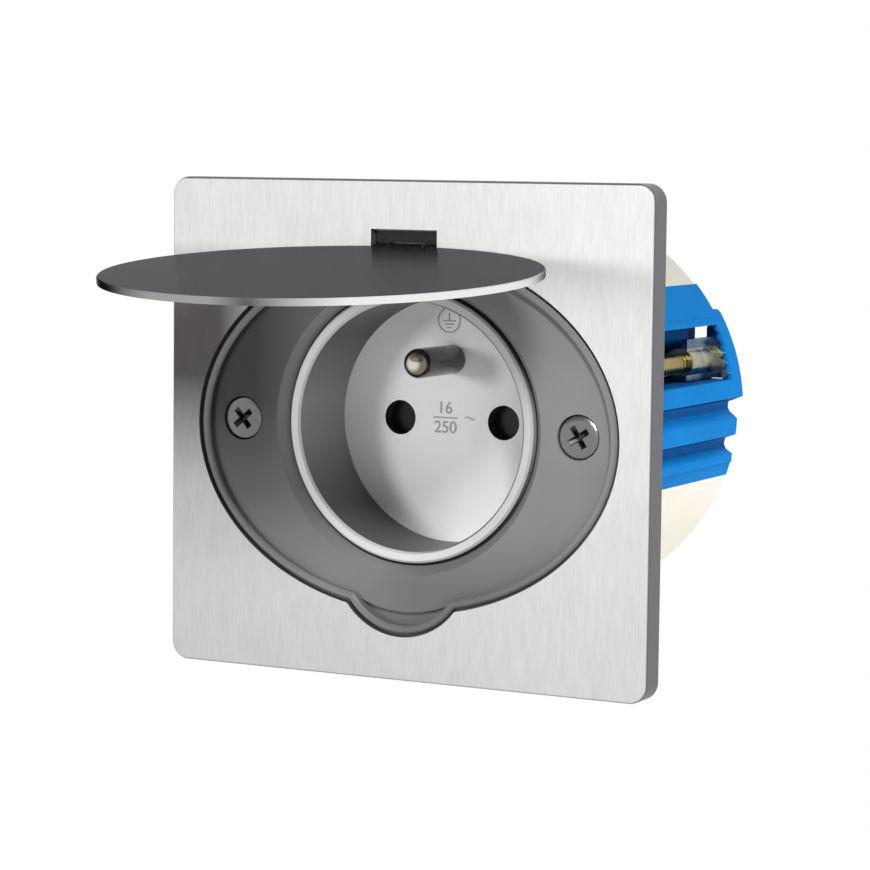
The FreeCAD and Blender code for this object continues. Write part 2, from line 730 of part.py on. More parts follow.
def make_socket_base():
    body = new_body("socket_base")
    circle = new_sketch(body, "base_circle", base_back)
    draw_circle(circle, collar_radius)
    pad(body, "base_cup", circle, base_length)
    inside = new_sketch(body, "base_inside_circle", insert_back)
    draw_circle(inside, collar_radius - base_wall)
    pocket(body, "base_inside", inside, base_length - base_wall)
    post = new_sketch(body, "post_circle", base_back)
    draw_circle(post, base_screw_radius + base_wall, base_screw_out, -base_screw_out)
    base_post = pad(body, "base_post", post, base_length)
    hole = new_sketch(body, "post_hole_circle", insert_back)
    draw_circle(hole, base_screw_radius + screw_clearance / 4, base_screw_out, -base_screw_out)
    post_hole = pocket(body, "post_hole", hole, base_length)
    mirrored_copy(body, "other_post", [base_post, post_hole])
    rail = new_sketch(body, "rail_outline", base_back)
    draw_rectangle(rail, -rail_half_length, rail_half_length, shutter_half_width + shutter_clearance,
                   shutter_half_width + shutter_clearance + contact_sheet)
    draw_rectangle(rail, -rail_half_length, rail_half_length,
                   -shutter_half_width - shutter_clearance - contact_sheet,
                   -shutter_half_width - shutter_clearance)
    pad(body, "shutter_rails", rail, base_length)
    make_base_holes(body)


def make_base_holes(body):
    """Holes in the base's back for the terminal screws and the wires."""
    spread = terminal_width * wire_share
    sketch = new_sketch(body, "terminal_access_circles", base_back)
    draw_circle(sketch, terminal_head_radius + screw_clearance, -terminal_out)
    draw_circle(sketch, terminal_head_radius + screw_clearance, terminal_out)
    draw_circle(sketch, terminal_head_radius + screw_clearance, ZERO, terminal_out)
    pocket(body, "terminal_access", sketch, base_wall, up=True)
    wires = new_sketch(body, "wire_entry_circles", base_back)
    draw_circle(wires, wire_radius + screw_clearance, -terminal_out, spread)
    draw_circle(wires, wire_radius + screw_clearance, -terminal_out, -spread)
    draw_circle(wires, wire_radius + screw_clearance, terminal_out, spread)
    draw_circle(wires, wire_radius + screw_clearance, terminal_out, -spread)
    draw_circle(wires, wire_radius + screw_clearance, spread, terminal_out)
    draw_circle(wires, wire_radius + screw_clearance, -spread, terminal_out)
    pocket(body, "wire_entries", wires, base_wall, up=True)


def make_base_screws():
    screws = []
    for name, side in (("left", -base_screw_out), ("right", base_screw_out)):
        head = rod("base_head_" + name, base_screw_radius * 2, base_back - base_screw_radius,
                   base_back, side, -base_screw_out)
        shank = rod("base_shank_" + name, base_screw_radius, base_back - base_screw_radius,
                    insert_back + well_floor - floor_skin - screw_clearance, side, -base_screw_out)
        screws.append(fuse("base_screw_" + name, [head, shank]))
    finish(group("base_screw_group", screws), "base_screws")


def make_shutter():
    """Sliding shutter behind the pole holes, held shut until both pins push it aside."""
    body = new_body("shutter")
    front = insert_back - shutter_clearance
    left = -hole_pitch / 2 - shutter_cover
    right = hole_pitch / 2 + shutter_travel + shutter_cover
    outline = new_sketch(body, "shutter_outline", front)
    draw_rectangle(outline, left, right, -shutter_half_width, shutter_half_width)
    pad(body, "shutter_plate", outline, shutter_thickness, down=True)
    for name, x in (("left", shutter_travel - hole_pitch / 2), ("right", hole_pitch / 2 + shutter_travel)):
        circle = new_sketch(body, name + "_window_circle", front)
        draw_circle(circle, hole_radius + shutter_clearance, x)
        pocket(body, name + "_window", circle, shutter_thickness * 2)


def make_shutter_spring():
    """Folded strip between the shutter and the base's wall."""
    body = new_body("shutter_spring")
    middle = insert_back - shutter_clearance - shutter_thickness / 2
    seat = -hole_pitch / 2 - shutter_cover - running_clearance
    wall = base_wall + running_clearance - collar_radius
    outline = new_sketch(body, "spring_outline", middle - shutter_thickness / 3)
    strip = shutter_clearance
    high = shutter_half_width - contact_sheet
    draw_polygon(outline, [(seat, -high), (seat, strip - high), (wall + strip * 2, ZERO),
                           (seat, high - strip), (seat, high), (wall, strip), (wall, -strip)])
    pad(body, "spring_strip", outline, shutter_thickness * 2 / 3)


def make_mounting_frame():
    body = new_body("mounting_frame")
    disc = new_sketch(body, "frame_circle", frame_back)
    draw_circle(disc, frame_radius)
    pad(body, "frame_disc", disc, frame_thickness)
    tab = new_sketch(body, "tab_outline", frame_back)
    tab_inner = insert_flange_radius + frame_clearance
    draw_rectangle(tab, -tab_half_width, tab_half_width, tab_inner, tab_inner + frame_thickness)
    tab_pad = pad(body, "tab", tab, frame_back - insert_flange_back + frame_thickness, down=True)
    hook = new_sketch(body, "hook_outline", insert_flange_back - running_clearance)
    draw_rectangle(hook, -tab_half_width, tab_half_width, tab_inner - frame_thickness,
                   tab_inner + frame_thickness)
    hook_pad = pad(body, "hook", hook, frame_thickness - running_clearance, down=True)
    turned_copies(body, "tabs", [tab_pad, hook_pad], 2)
    hole = new_sketch(body, "frame_hole_circle", tray_back)
    draw_circle(hole, tray_bore + tray_skirt_wall + frame_clearance)
    pocket(body, "frame_opening", hole, frame_thickness)
    seat = new_sketch(body, "frame_screw_circle", tray_back)
    draw_circle(seat, screw_shank_radius + screw_clearance, screw_pitch / 2)
    seat_hole = pocket(body, "frame_screw_hole", seat, frame_thickness)
    slot = new_sketch(body, "frame_slot_outline", tray_back)
    slot_middle = (tray_bore + tray_skirt_wall + frame_radius) / 2
    draw_rectangle(slot, slot_middle * math.sin(math.pi / 4) - frame_thickness,
                   slot_middle * math.sin(math.pi / 4) + frame_thickness,
                   slot_middle * math.sin(math.pi / 4) - frame_thickness,
                   slot_middle * math.sin(math.pi / 4) + frame_thickness)
    slot_cut = pocket(body, "frame_slot", slot, frame_thickness)
    mirrored_copy(body, "other_frame_holes", [seat_hole, slot_cut])


def make_fixing_screws():
    """Two cross-recessed screws through the tray and the frame into the box's posts."""
    top = tray_floor - screw_clearance
    under = top - screw_head_height + screw_clearance * 2
    screws = []
    for name, x in (("left", -screw_pitch / 2), ("right", screw_pitch / 2)):
        head = rod("fixing_head_" + name, screw_head_radius, under, top, x)
        dome = doc.addObject("Part::Sphere", "fixing_dome_" + name)
        rise = screw_head_height / 4
        dome_radius = screw_head_radius * screw_head_radius / (rise * 2) + rise / 2
        dome.setExpression("Radius", dome_radius.text)
        dome.setExpression("Placement.Base.x", x.text)
        dome.setExpression("Placement.Base.z", (top + rise - dome_radius).text)
        cap_room = rod("fixing_cap_" + name, screw_head_radius, top, top + rise * 2, x)
        cap = common("fixing_cap_dome_" + name, [dome, cap_room])
        shank = rod("fixing_shank_" + name, screw_shank_radius, top - screw_length, under, x)
        solid = fuse("fixing_screw_" + name, [head, cap, shank])
        arm = screw_head_radius * recess_share
        across = block("recess_across_" + name, x - arm, x + arm, -recess_width / 2, recess_width / 2,
                       top - recess_depth, top + rise * 2)
        along = block("recess_along_" + name, x - recess_width / 2, x + recess_width / 2, -arm, arm,
                      top - recess_depth, top + rise * 2)
        screws.append(cut("recessed_screw_" + name, solid, fuse("recess_" + name, [across, along])))
    finish(group("fixing_screw_group", screws), "fixing_screws")


def hinge_placement():
    """Where the lid and its pieces stand when the lid is open."""
    turn = Placement(Vector(0, 0, 0), Rotation(Vector(1, 0, 0), -lid_open_angle.value),
                     Vector(0, hinge_rise.value, hinge_level.value))
    return UPRIGHT.multiply(turn)


def make_lid():
    body = new_body("lid", hinge_placement())
    oval = new_sketch(body, "lid_oval", lid_back)
    draw_ellipse(oval, lid_half_width, lid_half_height, -plate_drop)
    disc = pad(body, "lid_disc", oval, lid_thickness)
    bevel_edges(body, "lid_edge", disc, lid_edge_bevel, lies_at(face))


def make_lid_seal():
    bottom = lid_back - seal_thickness
    outer = cone_radius - (tray_floor - bottom) * ((cone_radius - tray_bore).value / cone_depth.value)
    outer = outer - seal_clearance
    disc = rod("seal_disc", outer, bottom, lid_back)
    hole = rod("seal_hole", outer - seal_width, bottom, lid_back)
    finish(cut("seal_ring", disc, hole), "lid_seal", hinge_placement())


def make_hinge_arm():
    """Black arm on the lid's back with the hinge's middle knuckle."""
    barrel = cross_rod("knuckle_barrel", hinge_barrel_radius, -knuckle_half_width, knuckle_half_width,
                       hinge_rise, hinge_level)
    lid_edge = lid_half_height - plate_drop
    leaf_low = cone_radius + tray_gap * 2
    leaf = block("hinge_leaf", -slot_width / 2 + leaf_margin, slot_width / 2 - leaf_margin,
                 leaf_low, lid_edge, lid_back - hinge_leaf_thickness, lid_back)
    web = block("hinge_web", -knuckle_half_width, knuckle_half_width, lid_edge - hinge_leaf_thickness,
                hinge_rise, lid_back - hinge_leaf_thickness, lid_back)
    bore = cross_rod("knuckle_bore", hinge_pin_radius + hinge_running_gap, -knuckle_half_width,
                     knuckle_half_width, hinge_rise, hinge_level)
    arm = fuse("hinge_arm_blank", [barrel, leaf, web])
    finish(cut("hinge_arm_shape", arm, bore), "hinge_arm", hinge_placement())


def make_hinge_bracket():
    """Black bracket in the slot, with the hinge's two outer knuckles."""
    inner = knuckle_half_width + hinge_washer + hinge_running_gap
    outer = slot_width / 2 - leaf_margin
    solids = []
    bores = []
    for name, left, right in (("left", -outer, -inner), ("right", inner, outer)):
        solids.append(cross_rod("ear_round_" + name, hinge_barrel_radius, left, right,
                                hinge_rise, hinge_level))
        solids.append(block("ear_" + name, left, right, hinge_rise - hinge_barrel_radius,
                            slot_top - leaf_margin, tray_back, hinge_level))
        bores.append(cross_rod("ear_bore_" + name, hinge_pin_radius, left, right,
                               hinge_rise, hinge_level))
    solids.append(block("bracket_bar", -outer, outer,
                        hinge_rise + hinge_barrel_radius + hinge_running_gap * 3,
                        slot_top - leaf_margin, tray_back, hinge_level + hinge_running_gap * 4))
    finish(cut("bracket_shape", fuse("bracket_blank", solids), fuse("bracket_bores", bores)),
           "hinge_bracket")


def make_hinge_pin():
    outer = slot_width / 2 - leaf_margin
    rod_item = cross_rod("hinge_pin_rod", hinge_pin_radius, -outer, outer, hinge_rise, hinge_level)
    finish(group("hinge_pin_group", [rod_item]), "hinge_pin")


def make_hinge_washers():
    """Friction washers that keep the lid where it is put."""
    washers = []
    for name, side in (("left", -1), ("right", 1)):
        near = knuckle_half_width + hinge_running_gap / 2
        far = near + hinge_washer
        left, right = (near, far) if side > 0 else (-far, -near)
        disc = cross_rod("washer_disc_" + name, hinge_barrel_radius - hinge_running_gap * 2, left, right,
                         hinge_rise, hinge_level)
        hole = cross_rod("washer_hole_" + name, hinge_pin_radius + hinge_running_gap, left, right,
                         hinge_rise, hinge_level)
        washers.append(cut("washer_" + name, disc, hole))
    finish(group("washer_pair", washers), "hinge_washers")


def half_turned(placement):
    """The same place, turned half way round the socket's axis."""
    return placement.multiply(Placement(Vector(0, 0, 0), Rotation(Vector(0, 0, 1), 180)))


def draw_membrane_field(sketch):
    """The sector above a side strip, which the soft entries fill."""
    inner = strip_high - box_wall
    far = box_flange_radius
    draw_polygon(sketch, [(-inner, strip_low), (-far, strip_low), (-far, far), (far, far),
                          (far, strip_high), (-inner, strip_high)])


def make_flush_box():
    """Round box with a window for a claw on each side and a tongue behind each window."""
    body = new_body("flush_box")
    rim = new_sketch(body, "flange_circle")
    draw_circle(rim, box_flange_radius)
    pad(body, "box_flange", rim, box_flange_thickness)
    spigot = new_sketch(body, "spigot_circle")
    draw_circle(spigot, spigot_radius)
    pad(body, "spigot", spigot, spigot_length, down=True)
    wall = new_sketch(body, "wall_circle")
    draw_circle(wall, box_radius)
    pad(body, "box_wall", wall, box_depth + tongue_length, down=True)
    inside = new_sketch(body, "inside_circle", box_flange_thickness)
    draw_circle(inside, box_radius - box_wall)
    pocket(body, "box_inside", inside, box_depth * 2)
    bar = new_sketch(body, "crossbar_outline", -box_depth)
    bar_half_length = box_radius - box_wall / 2
    draw_rectangle(bar, -bar_half_length, bar_half_length, -crossbar_half_width, crossbar_half_width)
    pad(body, "crossbar", bar, box_wall)
    backing = new_sketch(body, "groove_backing", -box_depth - tongue_length)
    draw_rectangle(backing, box_radius - groove_back_depth, box_radius - box_wall / 2,
                   lower_groove_bottom - box_wall / 2, upper_groove_top + box_wall / 2)
    backing_pad = pad(body, "groove_back", backing, box_depth + tongue_length - spigot_length)
    channel_pads = make_claw_channel(body)
    field = new_sketch(body, "membrane_field", -membrane_front)
    draw_membrane_field(field)
    field_cut = pocket(body, "membrane_cut", field, box_depth)
    upper = new_sketch(body, "upper_groove_outline", -spigot_length)
    draw_groove(upper, upper_groove_top, upper_groove_bottom, upper_groove_depth)
    upper_cut = pocket(body, "upper_groove", upper, box_depth)
    lower = new_sketch(body, "lower_groove_outline", -spigot_length)
    draw_groove(lower, lower_groove_top, lower_groove_bottom, lower_groove_depth)
    lower_cut = pocket(body, "lower_groove", lower, box_depth)
    window = new_sketch(body, "window_outline", -window_front)
    draw_rectangle(window, channel_face, box_flange_radius, window_low, window_high)
    window_cut = pocket(body, "claw_window", window, window_rear - window_front)
    rear = new_sketch(body, "rear_edge_outline", -box_depth - tongue_length)
    draw_rear_edge(rear)
    rear_cut = pocket(body, "rear_edge", rear, tongue_length, up=True)
    turned_copies(body, "second_side", [backing_pad] + channel_pads
                  + [field_cut, upper_cut, lower_cut, window_cut, rear_cut], 2)
    make_box_posts(body)


def draw_groove(sketch, top, bottom, depth):
    """One long groove in the box's side: a steep upper wall, a flat floor and a slope below it."""
    far = box_flange_radius
    rise = top - bottom
    floor = box_radius - depth
    draw_polygon(sketch, [(far, top), (box_radius - depth / 8, top), (floor + depth / 10, top - rise / 6),
                          (floor, top - rise / 3), (floor, top - rise / 2),
                          (floor + depth / 6, top - rise * 2 / 3), (box_radius, bottom), (far, bottom)])


def draw_rear_edge(sketch):
    """What is cut from the box's rear edge beside the tongues behind the two windows."""
    far = box_flange_radius
    inner = channel_face - channel_wall * 2
    draw_polygon(sketch, [(-far, -tongue_low), (inner, -tongue_low), (inner, tongue_high),
                          (far, tongue_high), (far, far), (-far, far)])


def ends_tongue(edge):
    """A test for the edges across a tongue's end, at its two corners."""
    box = edge.BoundBox
    across = box.YLength < 0.001 and box.ZLength < 0.001
    at_corner = min(abs(abs(box.YMin) - side.value) for side in (tongue_low, tongue_high)) < 0.001
    return across and at_corner and abs(box.ZMin + box_depth.value + tongue_length.value) < 0.001


def make_claw_channel(body):
    """The inner wall behind a claw's window, with a slot along the claw's screw."""
    plate_inner = channel_face - channel_wall
    reach_low = box_radius - box_wall / 2
    reach_high = claw_screw_out + claw_screw_radius
    high = new_sketch(body, "channel_high_outline", -box_depth)
    draw_polygon(high, [(plate_inner, channel_slot_high), (channel_face, channel_slot_high),
                        (channel_face, window_high), (reach_high, window_high),
                        (reach_high, window_high + channel_wall), (plate_inner, window_high + channel_wall)])
    high_pad = pad(body, "channel_high", high, box_depth - window_front)
    low = new_sketch(body, "channel_low_outline", -box_depth)
    draw_polygon(low, [(plate_inner, window_low - channel_wall), (reach_low, window_low - channel_wall),
                       (reach_low, window_low), (channel_face, window_low),
                       (channel_face, channel_slot_low), (plate_inner, channel_slot_low)])
    low_pad = pad(body, "channel_low", low, box_depth - window_front)
    end = new_sketch(body, "channel_end_outline", -box_depth)
    draw_rectangle(end, plate_inner, channel_face, window_low - channel_wall / 2,
                   window_high + channel_wall / 2)
    end_pad = pad(body, "channel_end", end, channel_slot_rear)
    return [high_pad, low_pad, end_pad]


def make_box_posts(body):
    """Posts for the two fixing screws and bearings for the two claw screws."""
    post = new_sketch(body, "post_circle", frame_back)
    draw_circle(post, post_radius, screw_pitch / 2)
    post_pad = pad(body, "screw_post", post, post_length, down=True)
    rib = new_sketch(body, "post_rib_outline", frame_back)
    draw_rectangle(rib, screw_pitch / 2 + post_radius - box_wall / 4, box_radius - box_wall / 4,
                   -box_wall / 2, box_wall / 2)
    rib_pad = pad(body, "post_rib", rib, post_length, down=True)
    front = new_sketch(body, "front_boss_circle", boss_front)
    draw_circle(front, boss_radius, claw_screw_out, claw_screw_up)
    front_pad = pad(body, "front_boss", front, window_front + boss_front, down=True)
    rear = new_sketch(body, "rear_boss_circle", -window_rear)
    draw_circle(rear, boss_radius, claw_screw_out, claw_screw_up)
    rear_pad = pad(body, "rear_boss", rear, box_depth - window_rear, down=True)
    post_hole = new_sketch(body, "post_hole_circle", frame_back)
    draw_circle(post_hole, screw_shank_radius, screw_pitch / 2)
    post_cut = pocket(body, "post_hole", post_hole, post_length)
    screw_hole = new_sketch(body, "claw_screw_circle", boss_front)
    draw_circle(screw_hole, claw_screw_radius + running_clearance, claw_screw_out, claw_screw_up)
    screw_cut = pocket(body, "claw_screw_hole", screw_hole, box_depth + box_wall)
    head_hole = new_sketch(body, "claw_head_circle", boss_front)
    draw_circle(head_hole, claw_head_radius + running_clearance, claw_screw_out, claw_screw_up)
    head_cut = pocket(body, "claw_head_recess", head_hole, claw_head_height + running_clearance * 2)
    both = turned_copies(body, "second_posts",
                         [post_pad, rib_pad, front_pad, rear_pad, post_cut, screw_cut, head_cut], 2)
    round_edges(body, "tongue_corners", both, tongue_corner, ends_tongue)


def make_side_membrane(label, placement):
    """Soft skin over the open side of the box, with two raised cable entries."""
    far = box_flange_radius
    outer = box_radius - hinge_running_gap
    prefix = label + "_"
    rear = membrane_rear_gap - box_depth
    ring = cut(prefix + "tube", rod(prefix + "outer", outer, rear, -membrane_front),
               rod(prefix + "inner", outer - membrane_thickness, rear, -membrane_front))
    high_block = block(prefix + "high", -far, far, strip_high, far, -box_depth, -membrane_front)
    low_block = block(prefix + "low", -far, box_wall - strip_high, strip_low, far,
                      -box_depth, -membrane_front)
    solids = [common(prefix + "skin", [ring, fuse(prefix + "field", [high_block, low_block])])]
    for name, share in (("front", front_entry_share), ("rear", rear_entry_share)):
        y_centre = -(membrane_front + (box_depth - membrane_front) * share)
        entry = doc.addObject("Part::Cylinder", prefix + name + "_entry")
        entry.setExpression("Radius", entry_radius.text)
        entry.setExpression("Height", (entry_rise + membrane_thickness * 4).text)
        entry.Placement = Placement(Vector(0, 0, 0), Rotation(Vector(1, 0, 0), -90))
        entry.setExpression("Placement.Base.y", (outer - membrane_thickness * 3).text)
        entry.setExpression("Placement.Base.z", y_centre.text)
        limit = rod(prefix + name + "_limit", outer + entry_rise, rear, ZERO)
        room = rod(prefix + name + "_room", outer - membrane_thickness, -box_depth - box_wall, box_wall)
        solids.append(cut(prefix + name + "_cap", common(prefix + name + "_dome", [entry, limit]), room))
    finish(fuse(prefix + "shape", solids), label, placement)


def make_rear_membrane():
    """Soft skin inside the box's open back, with two raised cable entries."""
    back = box_wall - box_depth
    solids = [rod("rear_skin", box_radius - box_wall - running_clearance, back, back + membrane_thickness)]
    for name, side in (("high", 1), ("low", -1)):
        solids.append(rod("rear_entry_" + name, rear_entry_radius, back - entry_rise / 2,
                          back + membrane_thickness / 2, ZERO, rear_entry_out * side))
    skin = fuse("rear_skin_solid", solids)
    near = channel_face - channel_wall - running_clearance
    low = window_low - channel_wall - running_clearance
    high = window_high + channel_wall + running_clearance
    ridge = box_radius - groove_back_depth - running_clearance
    ridge_low = lower_groove_bottom - box_wall / 2 - running_clearance
    above = low + channel_wall
    rooms = [block("right_claw_room", near, box_radius, low, high, -box_depth, ZERO),
             block("left_claw_room", -box_radius, -near, -high, -low, -box_depth, ZERO),
             block("right_ridge_room", ridge, box_radius, ridge_low, above, -box_depth, ZERO),
             block("left_ridge_room", -box_radius, -ridge, -above, -ridge_low, -box_depth, ZERO)]
    finish(cut("rear_membrane_shape", skin, fuse("membrane_rooms", rooms)), "rear_membrane")


def on_circle(radius, y):
    """How far out a circle round the socket's axis runs at the height y."""
    out = math.sqrt(radius.value ** 2 - y.value ** 2)
    return Size(out, "sqrt(" + radius.text + " ^ 2 - " + y.text + " ^ 2)")


def tooth_corners(low, high):
    """The toothed edge, with the tips on the box's own circle."""
    corners = []
    step = (high - low) / (tooth_count * 2)
    for index in range(tooth_count * 2 + 1):
        y = low + step * index
        radius = box_radius if index % 2 else box_radius - tooth_height
        corners.append((on_circle(radius, y), y))
    return corners


def make_claw(label, placement):
    """Pressed steel claw: a plate with a rib that runs on its screw, and a toothed rear edge."""
    body = new_body(label, placement)
    front = claw_length - claw_rest_depth
    plate = new_sketch(body, "plate_outline", front)
    draw_rectangle(plate, claw_plate_back, claw_plate_back + claw_sheet, claw_low, claw_plate_high)
    pad(body, "claw_plate", plate, claw_length, down=True)
    rib = new_sketch(body, "rib_circle", front)
    draw_circle(rib, claw_screw_radius + claw_sheet, claw_screw_out, claw_screw_up)
    pad(body, "claw_rib", rib, claw_length, down=True)
    flange = new_sketch(body, "flange_outline", front - claw_length + claw_sheet)
    draw_polygon(flange, [(claw_plate_back, claw_low)] + tooth_corners(claw_low, claw_high)
                 + [(claw_plate_back, claw_high)])
    pad(body, "toothed_flange", flange, claw_sheet, down=True)
    bore = new_sketch(body, "claw_bore_circle", front)
    draw_circle(bore, claw_screw_radius + hinge_running_gap, claw_screw_out, claw_screw_up)
    pocket(body, "claw_bore", bore, claw_length * 2)


def make_claw_screw(label, placement):
    """Brass screw that draws its claw forward."""
    prefix = label + "_"
    top = boss_front - running_clearance
    under = top - claw_head_height
    head = rod(prefix + "head", claw_head_radius, under, top, claw_screw_out, claw_screw_up)
    shank = rod(prefix + "shank", claw_screw_radius, running_clearance * 2 - box_depth,
                under, claw_screw_out, claw_screw_up)
    slot = block(prefix + "slot", claw_screw_out - claw_head_radius, claw_screw_out + claw_head_radius,
                 claw_screw_up - terminal_slot / 2, claw_screw_up + terminal_slot / 2,
                 top - terminal_slot, top)
    finish(cut(prefix + "shape", fuse(prefix + "solid", [head, shank]), slot), label, placement)


make_face_plate()
make_plate_gasket()
make_inner_tray()
make_socket_insert()
make_insert_gasket()
make_earth_pin()
make_earth_terminal()
make_pole_contact("right_contact", UPRIGHT)
make_pole_contact("left_contact", half_turned(UPRIGHT))
make_terminal_screws()
make_socket_base()
make_base_screws()
make_shutter()
make_shutter_spring()
make_mounting_frame()
make_fixing_screws()
make_lid()
make_lid_seal()
make_hinge_arm()
make_hinge_bracket()
make_hinge_pin()
make_hinge_washers()
make_flush_box()
make_side_membrane("upper_membrane", UPRIGHT)
make_side_membrane("lower_membrane", half_turned(UPRIGHT))
make_rear_membrane()
make_claw("right_claw", UPRIGHT)
make_claw("left_claw", half_turned(UPRIGHT))
make_claw_screw("right_claw_screw", UPRIGHT)
make_claw_screw("left_claw_screw", half_turned(UPRIGHT))

doc.recompute()
parts = [doc.getObjectsByLabel(label)[0] for label in labels]
for item in doc.Objects:
    if "Invalid" in item.State or "Error" in item.State:
        raise RuntimeError(item.Name + " failed")
    if item.TypeId in ("PartDesign::Pocket", "PartDesign::Groove"):
        if item.Shape.Volume >= item.BaseFeature.Shape.Volume - 0.001:
            raise RuntimeError(item.Name + " cuts nothing")
for part in parts:
    if part.Shape.isNull() or not part.Shape.isValid():
        raise RuntimeError(part.Label + " has no sound shape")

os.makedirs("parts", exist_ok=True)
for part in parts:
    part.Shape.exportStep("parts/" + part.Label + ".step")
    print(part.Label, len(part.Shape.Solids), round(part.Shape.Volume, 1))
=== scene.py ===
import math

import bmesh
import bpy
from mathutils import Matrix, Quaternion, Vector


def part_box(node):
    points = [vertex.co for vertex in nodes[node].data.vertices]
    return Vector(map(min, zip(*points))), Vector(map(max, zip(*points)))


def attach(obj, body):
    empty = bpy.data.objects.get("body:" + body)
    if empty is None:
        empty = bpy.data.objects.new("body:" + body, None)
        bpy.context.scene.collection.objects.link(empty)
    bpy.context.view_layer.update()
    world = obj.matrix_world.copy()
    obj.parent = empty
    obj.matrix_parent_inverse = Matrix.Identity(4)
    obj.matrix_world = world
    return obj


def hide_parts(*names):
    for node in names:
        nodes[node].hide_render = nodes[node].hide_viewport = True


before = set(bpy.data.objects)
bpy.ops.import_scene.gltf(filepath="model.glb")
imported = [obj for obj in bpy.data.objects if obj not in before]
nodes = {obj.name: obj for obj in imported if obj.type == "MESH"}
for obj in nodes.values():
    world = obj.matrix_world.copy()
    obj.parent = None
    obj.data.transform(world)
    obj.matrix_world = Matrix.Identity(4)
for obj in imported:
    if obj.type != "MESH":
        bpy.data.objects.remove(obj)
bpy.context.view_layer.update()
MM = 0.001
WHITE = (1, 1, 1)

# Places in the part, in metres
WELL_BOTTOM = 12.8 * MM
CLAW_SCREW_OUT = 28.2 * MM
CLAW_SCREW_UP = 8.9 * MM
CLAW_SCREW_RADIUS = 1.5 * MM
CLAW_SCREW_REAR = 54.6 * MM
PIN_ROOT_RADIUS = 1.9 * MM

# Thread of the claw screws, with the ridge's half width as a share of the pitch
THREAD_START = 7.4 * MM
THREAD_PITCH = 1.25 * MM
THREAD_RISE = 0.13 * MM
THREAD_SINK = 0.03 * MM
THREAD_RIDGE = 0.34
# Faces this far from the ridge's top, as a share of the pitch, take painted shade
THREAD_VALLEY = 0.3
THREAD_SIDES = 28
ROWS_PER_TURN = 8

# Fixing screws: the heads fill part of the tray's clearance round the solids' heads
SCREW_SIDES = 48
HEAD_GROWTH = 0.11 * MM
HEAD_HEIGHT = 1.2 * MM
SHANK_RADIUS = 1.5 * MM
HEAD_DOME = 0.6 * MM
DOME_START = 0.62
DOME_RINGS = (0.66, 0.76, 0.84, 0.90, 0.95, 0.98, 1.0)
DOME_STEEPNESS = 0.98
# Side of the socket, and turn of the cross in degrees
SCREW_TURNS = ((1, 33), (-1, 40))
# Half length and half width of the recess's arms, and the depth, from its mouth to its floor
RECESS_MOUTH = (1.95 * MM, 0.52 * MM, 0)
RECESS_SLOPE = (1.75 * MM, 0.36 * MM, 0.18 * MM)
RECESS_FLOOR = (0.75 * MM, 0.22 * MM, 1.0 * MM)

PIN_SIDES = 48
PIN_DOME = 2.1 * MM
PIN_DOME_RINGS = 12
PIN_SHARP_ANGLE = 40

# Marks on the well's floor, in millimetres apart from the first two
MARK_RISE = 0.08 * MM
NUMERAL_THICKENING = 0.02 * MM
MARK_STROKE = 0.22
NUMERAL_HEIGHT = 2.0
FONT_SIZE_PER_HEIGHT = 1.4
EARTH_MARK_X = -0.6
EARTH_MARK_Z = 16.4
EARTH_MARK_RADIUS = 2.0
EARTH_MARK_BARS = ((0, 17.6, 0, 16.3), (-1.2, 16.3, 1.2, 16.3), (-0.8, 15.75, 0.8, 15.75),
                   (-0.4, 15.2, 0.4, 15.2))
WAVE_STEPS = 16
WAVE_LEFT = 2.5
WAVE_LENGTH = 1.8
WAVE_Z = 0.45
WAVE_RISE = 0.2
RATING_BAR = ((-3.3, 0.35), (1.1, 0.35))

# Noise: features per metre, and the range that most of its values fall in
GRAIN = 3200
CLOUDS = 55
NOISE_LOW, NOISE_HIGH = 0.3, 0.7

# The photograph's viewpoint
CAMERA_AZIMUTH = 27.33
CAMERA_ELEVATION = 5.41
CAMERA_ROLL = 0.65
CAMERA_TARGET = Vector((5.97, -4.6, -0.77)) * MM
CAMERA_DISTANCE = 470.15 * MM
CAMERA_LENS = 123.08

# Room: degrees round the object and above the floor, distance and size in metres, power in
# watts, and whether the lamp shows in reflections
FLOOR_LEVEL = -0.13
FLOOR_REACH = 6.0
LIGHT_FROM_WORLD = 0.14
LAMPS = (
    ("key", 32, 32, 0.6, 0.12, 3.3, True),
    ("left_front", -28, 6, 1.1, 0.25, 4.0, False),
    ("right_rear", 102, 10, 1.1, 0.4, 4.6, False),
    ("left_rear", 215, 25, 1.1, 0.4, 5.0, False),
)


# Shader nodes

def new_material(name, metallic, roughness, gloss=0.5):
    """A shader with its steady values set on its own sockets."""
    mat = bpy.data.materials.new(name)
    mat.use_nodes = True
    shader = mat.node_tree.nodes["Principled BSDF"]
    shader.inputs["Metallic"].default_value = metallic
    shader.inputs["Roughness"].default_value = roughness
    shader.inputs["Specular IOR Level"].default_value = gloss
    return mat, shader


def add_node(mat, kind, **values):
    """A node of a material or world, with values for its sockets or its settings."""
    node = mat.node_tree.nodes.new("ShaderNode" + kind)
    for key, value in values.items():
        if key in node.inputs:
            node.inputs[key].default_value = value
        else:
            setattr(node, key, value)
    return node


def join(mat, source, target):
    mat.node_tree.links.new(source, target)


def calculate(mat, operation, *sources):
    node = add_node(mat, "Math", operation=operation)
    for source, target in zip(sources, node.inputs):
        join(mat, source, target)
    return node.outputs[0]


def product(mat, *values):
    total = values[0]
    for value in values[1:]:
        total = calculate(mat, "MULTIPLY", total, value)
    return total


